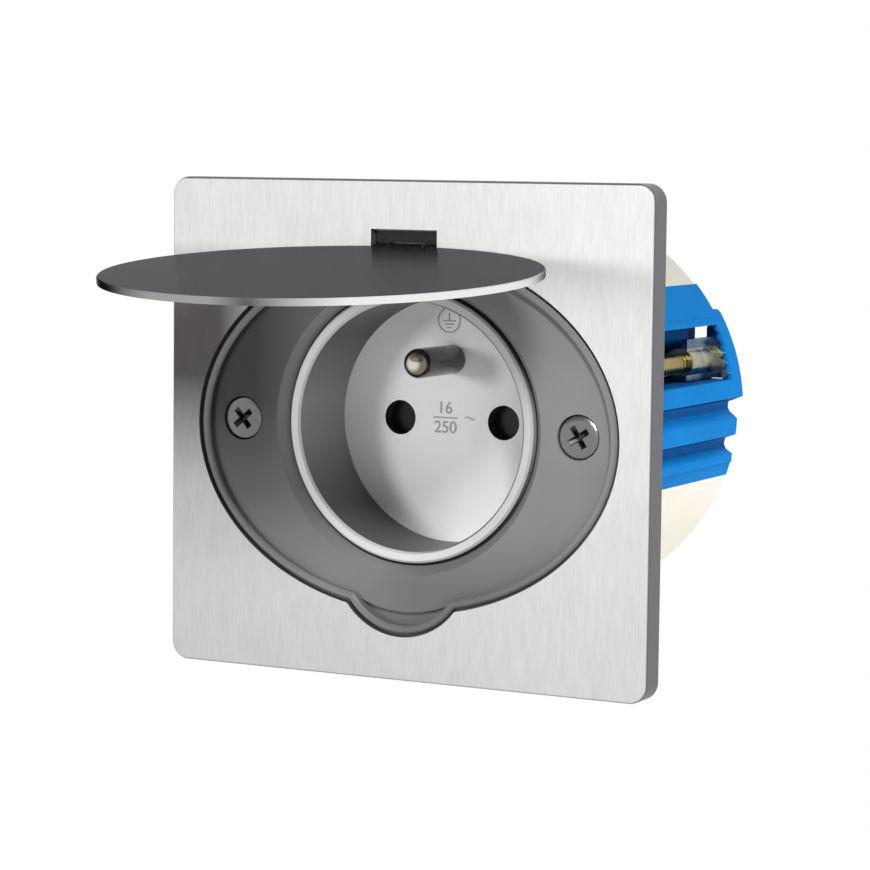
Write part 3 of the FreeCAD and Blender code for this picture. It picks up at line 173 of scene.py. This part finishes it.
def noise(mat, scale, detail, roughness, stretch=(1, 1, 1)):
    """Noise in the piece's own frame, with features about 1/scale metres across."""
    place = add_node(mat, "TexCoord")
    mapping = add_node(mat, "Mapping")
    mapping.inputs["Scale"].default_value = stretch
    join(mat, place.outputs["Object"], mapping.inputs["Vector"])
    pattern = add_node(mat, "TexNoise", Scale=scale, Detail=detail, Roughness=roughness)
    join(mat, mapping.outputs["Vector"], pattern.inputs["Vector"])
    return pattern.outputs["Fac"]


def remap(mat, value, low, high, to_low, to_high):
    node = add_node(mat, "MapRange")
    node.inputs["From Min"].default_value = low
    node.inputs["From Max"].default_value = high
    node.inputs["To Min"].default_value = to_low
    node.inputs["To Max"].default_value = to_high
    join(mat, value, node.inputs["Value"])
    return node.outputs["Result"]


def ramp(mat, value, start, end):
    """0 at start and 1 at end, level beyond them."""
    return remap(mat, value, start, end, 0, 1)


def spread(mat, pattern, low, high):
    """Noise spread from low to high."""
    return remap(mat, pattern, NOISE_LOW, NOISE_HIGH, low, high)


def blend(mat, factor, first, second):
    """A colour between first and second; each is a colour or a socket."""
    node = add_node(mat, "Mix", data_type="RGBA")
    join(mat, factor, node.inputs[0])
    for index, colour in ((6, first), (7, second)):
        if isinstance(colour, bpy.types.NodeSocket):
            join(mat, colour, node.inputs[index])
        else:
            node.inputs[index].default_value = (*colour, 1)
    return node.outputs[2]


def multiply(mat, *colours):
    total = colours[0]
    for colour in colours[1:]:
        node = add_node(mat, "Mix", data_type="RGBA", blend_type="MULTIPLY")
        node.inputs[0].default_value = 1.0
        join(mat, total, node.inputs[6])
        join(mat, colour, node.inputs[7])
        total = node.outputs[2]
    return total


def bump(mat, shader, height, strength, distance):
    node = add_node(mat, "Bump", Strength=strength, Distance=distance)
    join(mat, height, node.inputs["Height"])
    join(mat, node.outputs["Normal"], shader.inputs["Normal"])


def three_parts(mat, output):
    """X, Y and Z of the piece's own place or normal."""
    place = add_node(mat, "TexCoord")
    parts = add_node(mat, "SeparateXYZ")
    join(mat, place.outputs[output], parts.inputs[0])
    return parts.outputs


def place_in_piece(mat):
    """The point's place in the part, as three values in metres."""
    return three_parts(mat, "Object")


def radius_from_centre(mat):
    """The point's distance from the socket's axis."""
    x, _, z = place_in_piece(mat)
    flat = add_node(mat, "CombineXYZ")
    join(mat, x, flat.inputs[0])
    join(mat, z, flat.inputs[2])
    length = add_node(mat, "VectorMath", operation="LENGTH")
    join(mat, flat.outputs[0], length.inputs[0])
    return length.outputs["Value"]


def facing(mat, axis, low, high):
    """How squarely the surface faces along an axis of the piece, from 0 to 1."""
    part = three_parts(mat, "Normal")[axis]
    return ramp(mat, calculate(mat, "ABSOLUTE", part), low, high)


# Finishes, some with painted light and shade

def brushed(name, light, dark, edge, grain_axis, face_axis, roughness, metallic=1.0, relief=0.25,
            face_painted_shading=None):
    """Sheet metal brushed along one axis, with a plainer edge in a colour of its own: painted shade
    on the plate's sides, painted highlights on the lid's edge.
    """
    mat, shader = new_material(name, metallic, roughness)
    fine = [3000, 3000, 3000]
    fine["XYZ".index(grain_axis)] = 240
    coarse = [600, 600, 600]
    coarse["XYZ".index(grain_axis)] = 140
    streaks = noise(mat, 1.0, 4.0, 0.65, fine)
    bands = noise(mat, 1.0, 2.0, 0.5, coarse)
    total = add_node(mat, "Math", operation="MULTIPLY_ADD")
    join(mat, bands, total.inputs[0])
    total.inputs[1].default_value = 0.45
    join(mat, streaks, total.inputs[2])
    face_colour = blend(mat, ramp(mat, total.outputs[0], 0.52, 0.94), dark, light)
    # Painted shade multiplied into the face, where it is given
    if face_painted_shading:
        face_colour = multiply(mat, face_colour, face_painted_shading(mat))
    # The edge's colour is painted light: painted shade on the plate's sides, painted highlights on
    # the lid's edge
    if callable(edge):
        edge = edge(mat)
    join(mat, blend(mat, facing(mat, face_axis, 0.6, 0.95), edge, face_colour),
         shader.inputs["Base Color"])
    join(mat, spread(mat, streaks, roughness - 0.02, roughness + 0.03), shader.inputs["Roughness"])
    bump(mat, shader, streaks, relief, 0.02 * MM)
    return mat, shader


def moulded(name, colour, roughness, grain=GRAIN, relief=0.15, variation=0.06, metallic=0.0,
            gloss=0.5, painted_shading=None):
    """Moulded plastic, rubber or plain metal with fine grain and slight cloudiness."""
    mat, shader = new_material(name, metallic, roughness, gloss)
    clouds = noise(mat, CLOUDS, 3.0, 0.55)
    grains = noise(mat, grain, 2.0, 0.6)
    dark = [c * (1 - variation) for c in colour]
    light = [min(1.0, c * (1 + variation)) for c in colour]
    cloudy = blend(mat, spread(mat, clouds, 0, 1), dark, light)
    # Painted shade multiplied into the colour, where it is given
    if painted_shading:
        cloudy = multiply(mat, cloudy, painted_shading(mat))
    join(mat, cloudy, shader.inputs["Base Color"])
    join(mat, spread(mat, grains, roughness - 0.05, roughness + 0.05), shader.inputs["Roughness"])
    bump(mat, shader, grains, relief, 0.03 * MM)
    return mat


def plate_painted_shade(mat):
    """Painted shade: the lid's shadow and a dark reflection painted left of the opening, darker
    towards the lower left, and a dark line along the top.
    """
    x, _, z = place_in_piece(mat)
    left = ramp(mat, x, -22 * MM, -34 * MM)
    above = ramp(mat, z, -11 * MM, 7 * MM)
    below_lid = ramp(mat, z, 29 * MM, 20 * MM)
    # Painted shadow and painted reflection of the lid, left of the opening
    painted_lid_shadow = blend(mat, product(mat, left, above, below_lid), WHITE, (0.13, 0.12, 0.117))
    # Painted shade, darker towards the bottom and towards the left
    low = blend(mat, ramp(mat, z, -42 * MM, 20 * MM), (0.80, 0.80, 0.80), WHITE)
    side = blend(mat, ramp(mat, x, -43 * MM, 30 * MM), (0.90, 0.895, 0.89), WHITE)
    # A dark line of painted shade along the top edge
    painted_top_line = blend(mat, ramp(mat, z, 38.95 * MM, 39.1 * MM), WHITE, (0.12, 0.12, 0.12))
    return multiply(mat, painted_lid_shadow, low, side, painted_top_line)


def lid_edge_painted_highlights(mat):
    """The polished edge of the lid, with painted highlights: lighter in the middle and brightest
    towards the right.
    """
    x, _, _ = place_in_piece(mat)
    middle = product(mat, ramp(mat, x, -24 * MM, -14 * MM), ramp(mat, x, 3 * MM, -3 * MM))
    right = ramp(mat, x, 4 * MM, 18 * MM)
    # Painted highlights of the lamps, with painted shade between them
    painted_shading = blend(mat, middle, (0.13, 0.13, 0.135), (0.36, 0.36, 0.36))
    return blend(mat, right, painted_shading, (0.85, 0.85, 0.85))


def tray_painted_shade(mat):
    """Painted shade: darker upper left, where the lid's shadow falls, and lower right, with painted
    light on the cone on the left.
    """
    x, y, z = place_in_piece(mat)
    floor_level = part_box("fixing_screws")[0][1]
    below_lip = ramp(mat, y, floor_level - 1.2 * MM, floor_level - 0.4 * MM)
    left = ramp(mat, x, -10 * MM, -28 * MM)
    up = ramp(mat, z, -18 * MM, 3 * MM)
    # Painted shadow of the lid over the upper left
    painted_lid_shade = blend(mat, product(mat, left, up, below_lip), WHITE, (0.22, 0.22, 0.21))
    # Painted shade towards the lower right
    low = product(mat, ramp(mat, z, -15 * MM, -26 * MM), ramp(mat, x, -14 * MM, 2 * MM))
    floor = multiply(mat, painted_lid_shade, blend(mat, low, WHITE, (0.70, 0.70, 0.69)))
    cone = ramp(mat, radius_from_centre(mat), 23.9 * MM, 23.7 * MM)
    # Painted light on the cone's left side
    painted_cone_light = product(mat, cone, ramp(mat, x, 6 * MM, -14 * MM))
    return blend(mat, painted_cone_light, floor, (1.25, 1.24, 1.21))


def blue_painted_shade(mat):
    """Painted shade: darker in the grooves and on their roofs, and a little darker to the front and
    the top.
    """
    _, _, normal_z = three_parts(mat, "Normal")
    _, y, z = place_in_piece(mat)
    # Painted shade on the grooves' roofs and in the grooves
    roof = product(mat, ramp(mat, normal_z, -0.4, -0.8), ramp(mat, z, -19 * MM, -17 * MM))
    roofs = blend(mat, roof, WHITE, (0.3, 0.42, 0.5))
    depth = ramp(mat, radius_from_centre(mat), 33.3 * MM, 31.7 * MM)
    grooves = blend(mat, depth, WHITE, (0.35, 0.45, 0.55))
    # Painted shade near the plate and towards the top
    front = blend(mat, ramp(mat, y, 6 * MM, 30 * MM), (0.8, 0.82, 0.84), WHITE)
    top = blend(mat, ramp(mat, z, -6 * MM, 22 * MM), WHITE, (0.6, 0.82, 0.84))
    return multiply(mat, roofs, grooves, front, top)


def cream_painted_shade(mat):
    """The upper skin is painted greyer than the lower one: painted shade."""
    _, _, z = place_in_piece(mat)
    return blend(mat, ramp(mat, z, -4 * MM, 4 * MM), WHITE, (0.66, 0.71, 0.70))


def claw_finish():
    """Bright pressed steel: flat wings painted dark blue as a painted reflection of the blue box, a
    brassy rib and pale teeth.
    """
    mat, shader = new_material("claw_steel", 1.0, 0.22)
    x, _, z = place_in_piece(mat)
    height = calculate(mat, "ABSOLUTE", z)
    clouds = noise(mat, 420, 3.0, 0.6)
    cloudy = ramp(mat, clouds, 0.35, 0.65)
    # Painted reflection of the blue box on the flat wings
    painted_blue_reflection = blend(mat, cloudy, (0.03, 0.07, 0.16), (0.10, 0.17, 0.27))
    rib = blend(mat, cloudy, (0.20, 0.20, 0.13), (0.42, 0.42, 0.34))
    on_rib = product(mat, ramp(mat, height, 6.6 * MM, 7.0 * MM),
                     ramp(mat, height, 11.5 * MM, 11.1 * MM))
    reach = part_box("right_claw")[1][0]
    tips = ramp(mat, calculate(mat, "ABSOLUTE", x), reach - 1.5 * MM, reach - 1.0 * MM)
    join(mat, blend(mat, tips, blend(mat, on_rib, painted_blue_reflection, rib), (0.62, 0.64, 0.62)),
         shader.inputs["Base Color"])
    join(mat, spread(mat, clouds, 0.15, 0.3), shader.inputs["Roughness"])
    return mat


def pin_finish():
    """Dull nickel on the pin's side, and a polished end with a painted highlight that is brightest
    at its middle.
    """
    mat, shader = new_material("pin_metal", 1.0, 0.2)
    streaks = noise(mat, 1.0, 3.0, 0.5, (2400, 160, 2400))
    side = blend(mat, spread(mat, streaks, 0, 1), (0.10, 0.095, 0.085), (0.14, 0.13, 0.12))
    # Painted shade round the end, as a reflection of the dark walls
    painted_tip_shading = blend(mat, facing(mat, "Y", 0.2, 0.6), side, (0.19, 0.17, 0.14))
    # Painted highlight at the middle of the end
    join(mat, blend(mat, facing(mat, "Y", 0.86, 0.97), painted_tip_shading, (0.66, 0.63, 0.56)),
         shader.inputs["Base Color"])
    join(mat, spread(mat, streaks, 0.14, 0.24), shader.inputs["Roughness"])
    return mat


def insert_shaded_finish():
    """Grey moulding with painted shade: pale floor darker to the right, duller rim with a dark
    inner line, dark walls and pole holes.
    """
    mat, shader = new_material("insert_plastic", 0.0, 0.42, 0.3)
    x, y, z = place_in_piece(mat)
    radius = radius_from_centre(mat)
    # Painted shade on the rim, darker to the right, with a painted shadow line at its inner edge
    rim = blend(mat, ramp(mat, x, -20 * MM, 20 * MM), (0.70, 0.70, 0.70), (0.42, 0.42, 0.42))
    painted_shadow_line = product(mat, ramp(mat, radius, 20.0 * MM, 20.1 * MM),
                         ramp(mat, radius, 20.4 * MM, 20.3 * MM), ramp(mat, x, -2 * MM, 8 * MM))
    rim = blend(mat, painted_shadow_line, rim, (0.10, 0.10, 0.10))
    # Painted shade on the floor, darker to the right
    floor = blend(mat, ramp(mat, x, 2 * MM, 14 * MM), (0.97, 0.97, 0.97), (0.72, 0.72, 0.72))
    deep = ramp(mat, y, WELL_BOTTOM - 9 * MM, WELL_BOTTOM - 1 * MM)
    front = blend(mat, deep, rim, floor)
    height = calculate(mat, "ABSOLUTE", z)
    # Painted shade on the walls, darker away from the middle height, and in the pole holes
    wall = blend(mat, ramp(mat, height, 3 * MM, 14 * MM), (0.34, 0.345, 0.355),
                 (0.085, 0.09, 0.095))
    painted_hole_shade = ramp(mat, radius, 15 * MM, 14.5 * MM)
    wall = blend(mat, painted_hole_shade, wall, (0.012, 0.012, 0.013))
    painted_shading = blend(mat, facing(mat, "Y", 0.25, 0.8), wall, front)
    clouds = noise(mat, CLOUDS, 3.0, 0.55)
    join(mat, blend(mat, spread(mat, clouds, 0, 0.1), painted_shading, (0.4, 0.4, 0.4)),
         shader.inputs["Base Color"])
    grains = noise(mat, GRAIN, 2.0, 0.6)
    join(mat, spread(mat, grains, 0.38, 0.48), shader.inputs["Roughness"])
    bump(mat, shader, grains, 0.05, 0.03 * MM)
    return mat


# The plate's edge colour is painted shade on its sides
plate_steel, plate_shader = brushed("plate_steel", (0.71, 0.71, 0.70), (0.62, 0.62, 0.615),
                                    (0.105, 0.105, 0.11), "Z", "Y", 0.30, 0.4, face_painted_shading=plate_painted_shade)
# Upright brushing draws reflections out sideways
plate_shader.inputs["Anisotropic"].default_value = 0.8
sideways = add_node(plate_steel, "Tangent", direction_type="RADIAL", axis="Z")
join(plate_steel, sideways.outputs[0], plate_shader.inputs["Tangent"])

lid_steel, lid_shader = brushed("lid_steel", (0.47, 0.47, 0.48), (0.44, 0.44, 0.45), lid_edge_painted_highlights,
                                "Y", "Z", 0.21, relief=0.0)
# The lid is dark where it is seen at a shallow angle
lid_shader.inputs["Specular Tint"].default_value = (0.13, 0.13, 0.14, 1)

tray_plastic = moulded("tray_plastic", (0.175, 0.173, 0.170), 0.45, gloss=0.25, painted_shading=tray_painted_shade)
black_rubber = moulded("black_rubber", (0.02, 0.02, 0.02), 0.75)
black_plastic = moulded("black_plastic", (0.006, 0.006, 0.007), 0.25, relief=0.05, gloss=0.3)
base_plastic = moulded("base_plastic", (0.70, 0.70, 0.66), 0.5)
insert_plastic = insert_shaded_finish()
pin_metal = pin_finish()
contact_brass = moulded("contact_brass", (0.72, 0.52, 0.22), 0.35, metallic=1.0)
screw_brass = moulded("screw_brass", (0.36, 0.28, 0.10), 0.28, metallic=1.0, variation=0.15)
# Painted shade in the valleys of the claw screws' thread
brass_valley_shade = moulded("brass_valley_shade", (0.10, 0.065, 0.02), 0.4, metallic=1.0, variation=0.15)
zinc = moulded("zinc", (0.19, 0.19, 0.19), 0.28, grain=1800, metallic=1.0, variation=0.15)
# Painted shade in the screws' cross recesses
recess_painted_shade = moulded("recess_painted_shade", (0.05, 0.05, 0.05), 0.35, metallic=1.0, variation=0.2)
spring_steel = moulded("spring_steel", (0.45, 0.45, 0.46), 0.35, metallic=1.0)
frame_steel = moulded("frame_steel", (0.58, 0.59, 0.60), 0.42, metallic=1.0, variation=0.15)
claw_steel = claw_finish()
blue_plastic = moulded("blue_plastic", (0.008, 0.215, 0.60), 0.5, relief=0.05, variation=0.08,
                       gloss=0.02, painted_shading=blue_painted_shade)
cream_soft = moulded("cream_soft", (0.95, 0.89, 0.78), 0.6, relief=0.08, variation=0.03, gloss=0.2,
                     painted_shading=cream_painted_shade)
mark_ink = moulded("mark_ink", (0.42, 0.42, 0.42), 0.5)

finishes = {
    "face_plate": plate_steel, "lid": lid_steel, "plate_gasket": black_rubber,
    "inner_tray": tray_plastic, "socket_insert": insert_plastic, "insert_gasket": black_rubber,
    "earth_pin": pin_metal, "earth_terminal": contact_brass, "right_contact": contact_brass,
    "left_contact": contact_brass, "terminal_screws": zinc, "socket_base": base_plastic,
    "base_screws": zinc, "shutter": black_plastic, "shutter_spring": spring_steel,
    "mounting_frame": frame_steel, "fixing_screws": zinc, "lid_seal": black_rubber,
    "hinge_arm": black_plastic, "hinge_bracket": black_plastic, "hinge_pin": spring_steel,
    "hinge_washers": spring_steel, "flush_box": blue_plastic, "upper_membrane": cream_soft,
    "lower_membrane": cream_soft, "rear_membrane": cream_soft, "right_claw": claw_steel,
    "left_claw": claw_steel, "right_claw_screw": screw_brass, "left_claw_screw": screw_brass,
}
for name, piece in nodes.items():
    piece.data.materials.clear()
    piece.data.materials.append(finishes[name])


# Small pieces

def ride_piece(name, mesh, body):
    """An object for a mesh that is drawn in place, on the body that carries it."""
    piece = bpy.data.objects.new(name, mesh)
    bpy.context.scene.collection.objects.link(piece)
    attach(piece, body)
    return piece


def add_piece(name, vertices, faces, material, body, slot, smooth=False):
    mesh = bpy.data.meshes.new(name)
    mesh.from_pydata(vertices, [], faces)
    mesh.update()
    mesh.materials.append(material)
    for polygon in mesh.polygons:
        polygon.use_smooth = smooth
    piece = ride_piece(name, mesh, body)
    return piece


def circle(radius, x, z, sides):
    """Points round a circle, as pairs of X and Z."""
    for step in range(sides):
        angle = 2 * math.pi * step / sides
        yield x + radius * math.cos(angle), z + radius * math.sin(angle)


def add_screws(name):
    """Both fixing screws, with domed heads, tapered cross recesses and shanks."""
    low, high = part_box("fixing_screws")
    solid_radius = (high[2] - low[2]) / 2
    mesh = bmesh.new()
    for side, turn in SCREW_TURNS:
        centre = Vector((side * (high[0] - solid_radius), 0, 0))
        add_cross_screw(mesh, centre, low[1], high[1], solid_radius + HEAD_GROWTH,
                        math.radians(turn))
    bmesh.ops.recalc_face_normals(mesh, faces=mesh.faces)
    data = bpy.data.meshes.new(name)
    mesh.to_mesh(data)
    mesh.free()
    data.materials.append(zinc)
    data.materials.append(recess_painted_shade)
    piece = ride_piece(name, data, "root")
    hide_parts("fixing_screws")


def add_cross_screw(mesh, centre, front, back, head_radius, turn):
    """One screw along Y, as closed rings from its cross recess out to its end."""
    def ring(radius, y):
        return [mesh.verts.new((x, y, z))
                for x, z in circle(radius, centre.x, centre.z, SCREW_SIDES)]

    def cross(arm, half, depth):
        corners = [(half, half), (half, arm), (-half, arm), (-half, half), (-arm, half),
                   (-arm, -half), (-half, -half), (-half, -arm), (half, -arm), (half, -half),
                   (arm, -half), (arm, half)]
        return [mesh.verts.new((centre.x + a * math.cos(turn) - b * math.sin(turn), front + depth,
                                centre.z + a * math.sin(turn) + b * math.cos(turn)))
                for a, b in corners]

    def neighbours(loop):
        return list(zip(loop, loop[1:] + loop[:1]))

    def bridge(first, second):
        for (a, b), (c, d) in zip(neighbours(first), neighbours(second)):
            mesh.faces.new((a, b, d, c))

    rings = []
    for share in DOME_RINGS:
        bend = (share - DOME_START) / (1 - DOME_START)
        drop = HEAD_DOME * (1 - math.sqrt(1 - bend * bend * DOME_STEEPNESS))
        rings.append(ring(head_radius * share, front + drop))
    rings.append(ring(head_radius, front + HEAD_HEIGHT))
    rings.append(ring(SHANK_RADIUS, front + HEAD_HEIGHT))
    rings.append(ring(SHANK_RADIUS, back))
    for first, second in zip(rings, rings[1:]):
        bridge(first, second)
    mesh.faces.new(rings[-1])
    mouth = cross(*RECESS_MOUTH)
    edges = [mesh.edges.get(pair) for pair in neighbours(rings[0])]
    edges += [mesh.edges.new(pair) for pair in neighbours(mouth)]
    bmesh.ops.triangle_fill(mesh, use_beauty=True, use_dissolve=False, edges=edges,
                            normal=(0, -1, 0))
    slope = cross(*RECESS_SLOPE)
    floor = cross(*RECESS_FLOOR)
    before = set(mesh.faces)
    bridge(mouth, slope)
    bridge(slope, floor)
    mesh.faces.new(floor)
    # The recess's faces take the painted shade
    for face in set(mesh.faces) - before:
        face.material_index = 1


def add_pin(name):
    """The earth pin, as closed rings from its domed tip back to its root."""
    low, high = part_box("earth_pin")
    radius = (high[0] - low[0]) / 2
    up = (high[2] + low[2]) / 2
    profile = []
    for step in range(1, PIN_DOME_RINGS + 1):
        angle = math.pi / 2 * step / PIN_DOME_RINGS
        profile.append((radius * math.sin(angle), low[1] + PIN_DOME * (1 - math.cos(angle))))
    profile += [(radius, WELL_BOTTOM), (PIN_ROOT_RADIUS, WELL_BOTTOM), (PIN_ROOT_RADIUS, high[1])]
    vertices = [(0, low[1], up)]
    for reach, y in profile:
        vertices += [(px, y, pz) for px, pz in circle(reach, 0, up, PIN_SIDES)]
    faces = [(0, 1 + step, 1 + (step + 1) % PIN_SIDES) for step in range(PIN_SIDES)]
    for row in range(len(profile) - 1):
        front = 1 + row * PIN_SIDES
        back = front + PIN_SIDES
        for step in range(PIN_SIDES):
            after = (step + 1) % PIN_SIDES
            faces.append((front + step, back + step, back + after, front + after))
    faces.append(tuple(range(len(vertices) - PIN_SIDES, len(vertices))))
    piece = add_piece(name, vertices, faces, pin_metal, "root", "nickel_pin", True)
    piece.data.set_sharp_from_angle(angle=math.radians(PIN_SHARP_ANGLE))
    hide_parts("earth_pin")


def thread_phase(y, step):
    """How far round the helix a point lies, from 0 to 1, with the ridge's top at a half."""
    return (y / THREAD_PITCH - step / THREAD_SIDES) % 1.0


def add_thread(name, body, side):
    """The helical ridge on a claw screw, laid over its plain shank."""
    length = CLAW_SCREW_REAR - THREAD_START
    rows = int(length / THREAD_PITCH * ROWS_PER_TURN)
    vertices, faces = [], []
    for row in range(rows + 1):
        y = THREAD_START + length * row / rows
        fade = min(1.0, row / ROWS_PER_TURN, (rows - row) / ROWS_PER_TURN)
        for step in range(THREAD_SIDES):
            angle = 2 * math.pi * step / THREAD_SIDES
            ridge = max(0.0, 1 - abs(thread_phase(y, step) - 0.5) / THREAD_RIDGE)
            radius = CLAW_SCREW_RADIUS - THREAD_SINK + (THREAD_RISE + THREAD_SINK) * ridge * fade
            vertices.append((side * CLAW_SCREW_OUT + radius * math.cos(angle), y,
                             side * CLAW_SCREW_UP + radius * math.sin(angle)))
    for row in range(rows):
        front = row * THREAD_SIDES
        back = front + THREAD_SIDES
        for step in range(THREAD_SIDES):
            after = (step + 1) % THREAD_SIDES
            faces.append((front + step, front + after, back + after, back + step))
    thread = add_piece(name, vertices, faces, screw_brass, body, "brass_screw", True)
    # The thread's valleys take painted shade
    thread.data.materials.append(brass_valley_shade)
    for number, polygon in enumerate(thread.data.polygons):
        row, step = divmod(number, THREAD_SIDES)
        phase = thread_phase(THREAD_START + length * (row + 0.5) / rows, step + 0.5)
        polygon.material_index = int(abs(phase - 0.5) > THREAD_VALLEY)


def chain(points):
    """Strokes from each point to the next."""
    return list(zip(points, points[1:]))


def stroke_mesh(strokes):
    """Flat bars on the well's floor, each from one point to another, in millimetres."""
    vertices, faces = [], []
    for (x1, z1), (x2, z2) in strokes:
        run = Vector((x2 - x1, z2 - z1))
        side = Vector((-run.y, run.x)).normalized() * MARK_STROKE / 2
        a = len(vertices)
        for y in (WELL_BOTTOM, WELL_BOTTOM - MARK_RISE):
            for x, z in ((x1 + side.x, z1 + side.y), (x1 - side.x, z1 - side.y),
                         (x2 - side.x, z2 - side.y), (x2 + side.x, z2 + side.y)):
                vertices.append((x * MM, y, z * MM))
        faces += [(a + 4, a + 5, a + 6, a + 7), (a, a + 1, a + 5, a + 4),
                  (a + 1, a + 2, a + 6, a + 5), (a + 2, a + 3, a + 7, a + 6),
                  (a + 3, a, a + 4, a + 7)]
    return vertices, faces


def add_text(name, words, x, z):
    """Plain numerals on the well's floor."""
    curve = bpy.data.curves.new(name, "FONT")
    curve.body = words
    curve.size = NUMERAL_HEIGHT * FONT_SIZE_PER_HEIGHT * MM
    curve.extrude = MARK_RISE
    curve.align_x = "CENTER"
    curve.align_y = "CENTER"
    curve.offset = NUMERAL_THICKENING
    letters = bpy.data.objects.new(name + "_curve", curve)
    bpy.context.scene.collection.objects.link(letters)
    letters.location = (x * MM, WELL_BOTTOM, z * MM)
    letters.rotation_euler = (math.radians(90), 0, 0)
    bpy.context.view_layer.update()
    mesh = bpy.data.meshes.new_from_object(letters)
    mesh.transform(letters.matrix_world)
    bpy.data.objects.remove(letters)
    mesh.materials.append(mark_ink)
    ride_piece(name, mesh, "root")


add_screws("cross_screws")
add_pin("domed_pin")
add_thread("right_thread", "right_claw_screw", 1)
add_thread("left_thread", "left_claw_screw", -1)

ring_points = list(circle(EARTH_MARK_RADIUS, EARTH_MARK_X, EARTH_MARK_Z, 40))
earth_symbol = chain(ring_points + ring_points[:1])
earth_symbol += [((EARTH_MARK_X + x1, z1), (EARTH_MARK_X + x2, z2))
                 for x1, z1, x2, z2 in EARTH_MARK_BARS]
add_piece("earth_mark", *stroke_mesh(earth_symbol), mark_ink, "root", "light_grey_insert")
wave = [(WAVE_LEFT + WAVE_LENGTH * step / WAVE_STEPS,
         WAVE_Z + WAVE_RISE * math.sin(2 * math.pi * step / WAVE_STEPS))
        for step in range(WAVE_STEPS + 1)]
add_piece("supply_mark", *stroke_mesh(chain(wave) + [RATING_BAR]), mark_ink, "root",
          "light_grey_insert")
add_text("current_mark", "16", -1.2, 1.9)
add_text("voltage_mark", "250", -1.1, -1.3)


# Room

def plain_floor():
    """A wide pale floor, which takes the object's shadow and shows as white."""
    mesh = bpy.data.meshes.new("floor")
    far = FLOOR_REACH
    corners = [(-far, -far, 0), (far, -far, 0), (far, far, 0), (-far, far, 0)]
    mesh.from_pydata(corners, [], [(0, 1, 2, 3)])
    floor = bpy.data.objects.new("floor", mesh)
    floor.location.z = FLOOR_LEVEL
    bpy.context.scene.collection.objects.link(floor)
    mat, shader = new_material("floor_white", 0.0, 0.9)
    shader.inputs["Base Color"].default_value = (0.9, 0.9, 0.9, 1)
    glow = add_node(mat, "Emission", Strength=1.0)
    glow.inputs["Color"].default_value = (1, 1, 1, 1)
    path = add_node(mat, "LightPath")
    seen = calculate(mat, "MAXIMUM", path.outputs["Is Camera Ray"], path.outputs["Is Glossy Ray"])
    mix = add_node(mat, "MixShader")
    join(mat, seen, mix.inputs[0])
    join(mat, shader.outputs[0], mix.inputs[1])
    join(mat, glow.outputs[0], mix.inputs[2])
    join(mat, mix.outputs[0], mat.node_tree.nodes["Material Output"].inputs["Surface"])
    mesh.materials.append(mat)


def white_world():
    """Even light, and pure white wherever the camera or a reflection sees past the object."""
    world = bpy.data.worlds.new("studio")
    world.use_nodes = True
    bpy.context.scene.world = world
    background = world.node_tree.nodes["Background"]
    background.inputs["Color"].default_value = (1, 1, 1, 1)
    path = add_node(world, "LightPath")
    seen = calculate(world, "MAXIMUM", path.outputs["Is Camera Ray"], path.outputs["Is Glossy Ray"])
    seen = calculate(world, "MAXIMUM", seen, path.outputs["Is Transmission Ray"])
    join(world, remap(world, seen, 0, 1, LIGHT_FROM_WORLD, 1), background.inputs["Strength"])


def direction(azimuth, elevation):
    """The way from the object towards a place, from degrees round it and above the floor."""
    around, up = math.radians(azimuth), math.radians(elevation)
    return Vector((math.sin(around) * math.cos(up), -math.cos(around) * math.cos(up), math.sin(up)))


def area_light(name, azimuth, elevation, distance, size, power, in_gloss):
    """A soft lamp that looks at the object."""
    lamp = bpy.data.lights.new(name, "AREA")
    lamp.shape = "DISK"
    lamp.size = size
    lamp.energy = power
    item = bpy.data.objects.new(name, lamp)
    item.location = distance * direction(azimuth, elevation)
    item.rotation_mode = "QUATERNION"
    item.rotation_quaternion = (-item.location).to_track_quat("-Z", "Y")
    item.visible_glossy = in_gloss
    bpy.context.scene.collection.objects.link(item)


def photo_camera():
    back = direction(CAMERA_AZIMUTH, CAMERA_ELEVATION)
    lens = bpy.data.cameras.new("photo_camera")
    lens.sensor_width = 36.0
    lens.lens = CAMERA_LENS
    lens.clip_start = 0.01
    lens.clip_end = 50.0
    camera = bpy.data.objects.new("photo_camera", lens)
    camera.location = CAMERA_TARGET + back * CAMERA_DISTANCE
    camera.rotation_mode = "QUATERNION"
    roll = Quaternion((0, 0, 1), math.radians(CAMERA_ROLL))
    camera.rotation_quaternion = (-back).to_track_quat("-Z", "Y") @ roll
    bpy.context.scene.collection.objects.link(camera)
    bpy.context.scene.camera = camera


plain_floor()
white_world()
for lamp_values in LAMPS:
    area_light(*lamp_values)
photo_camera()
bpy.context.scene.view_settings.view_transform = "Standard"
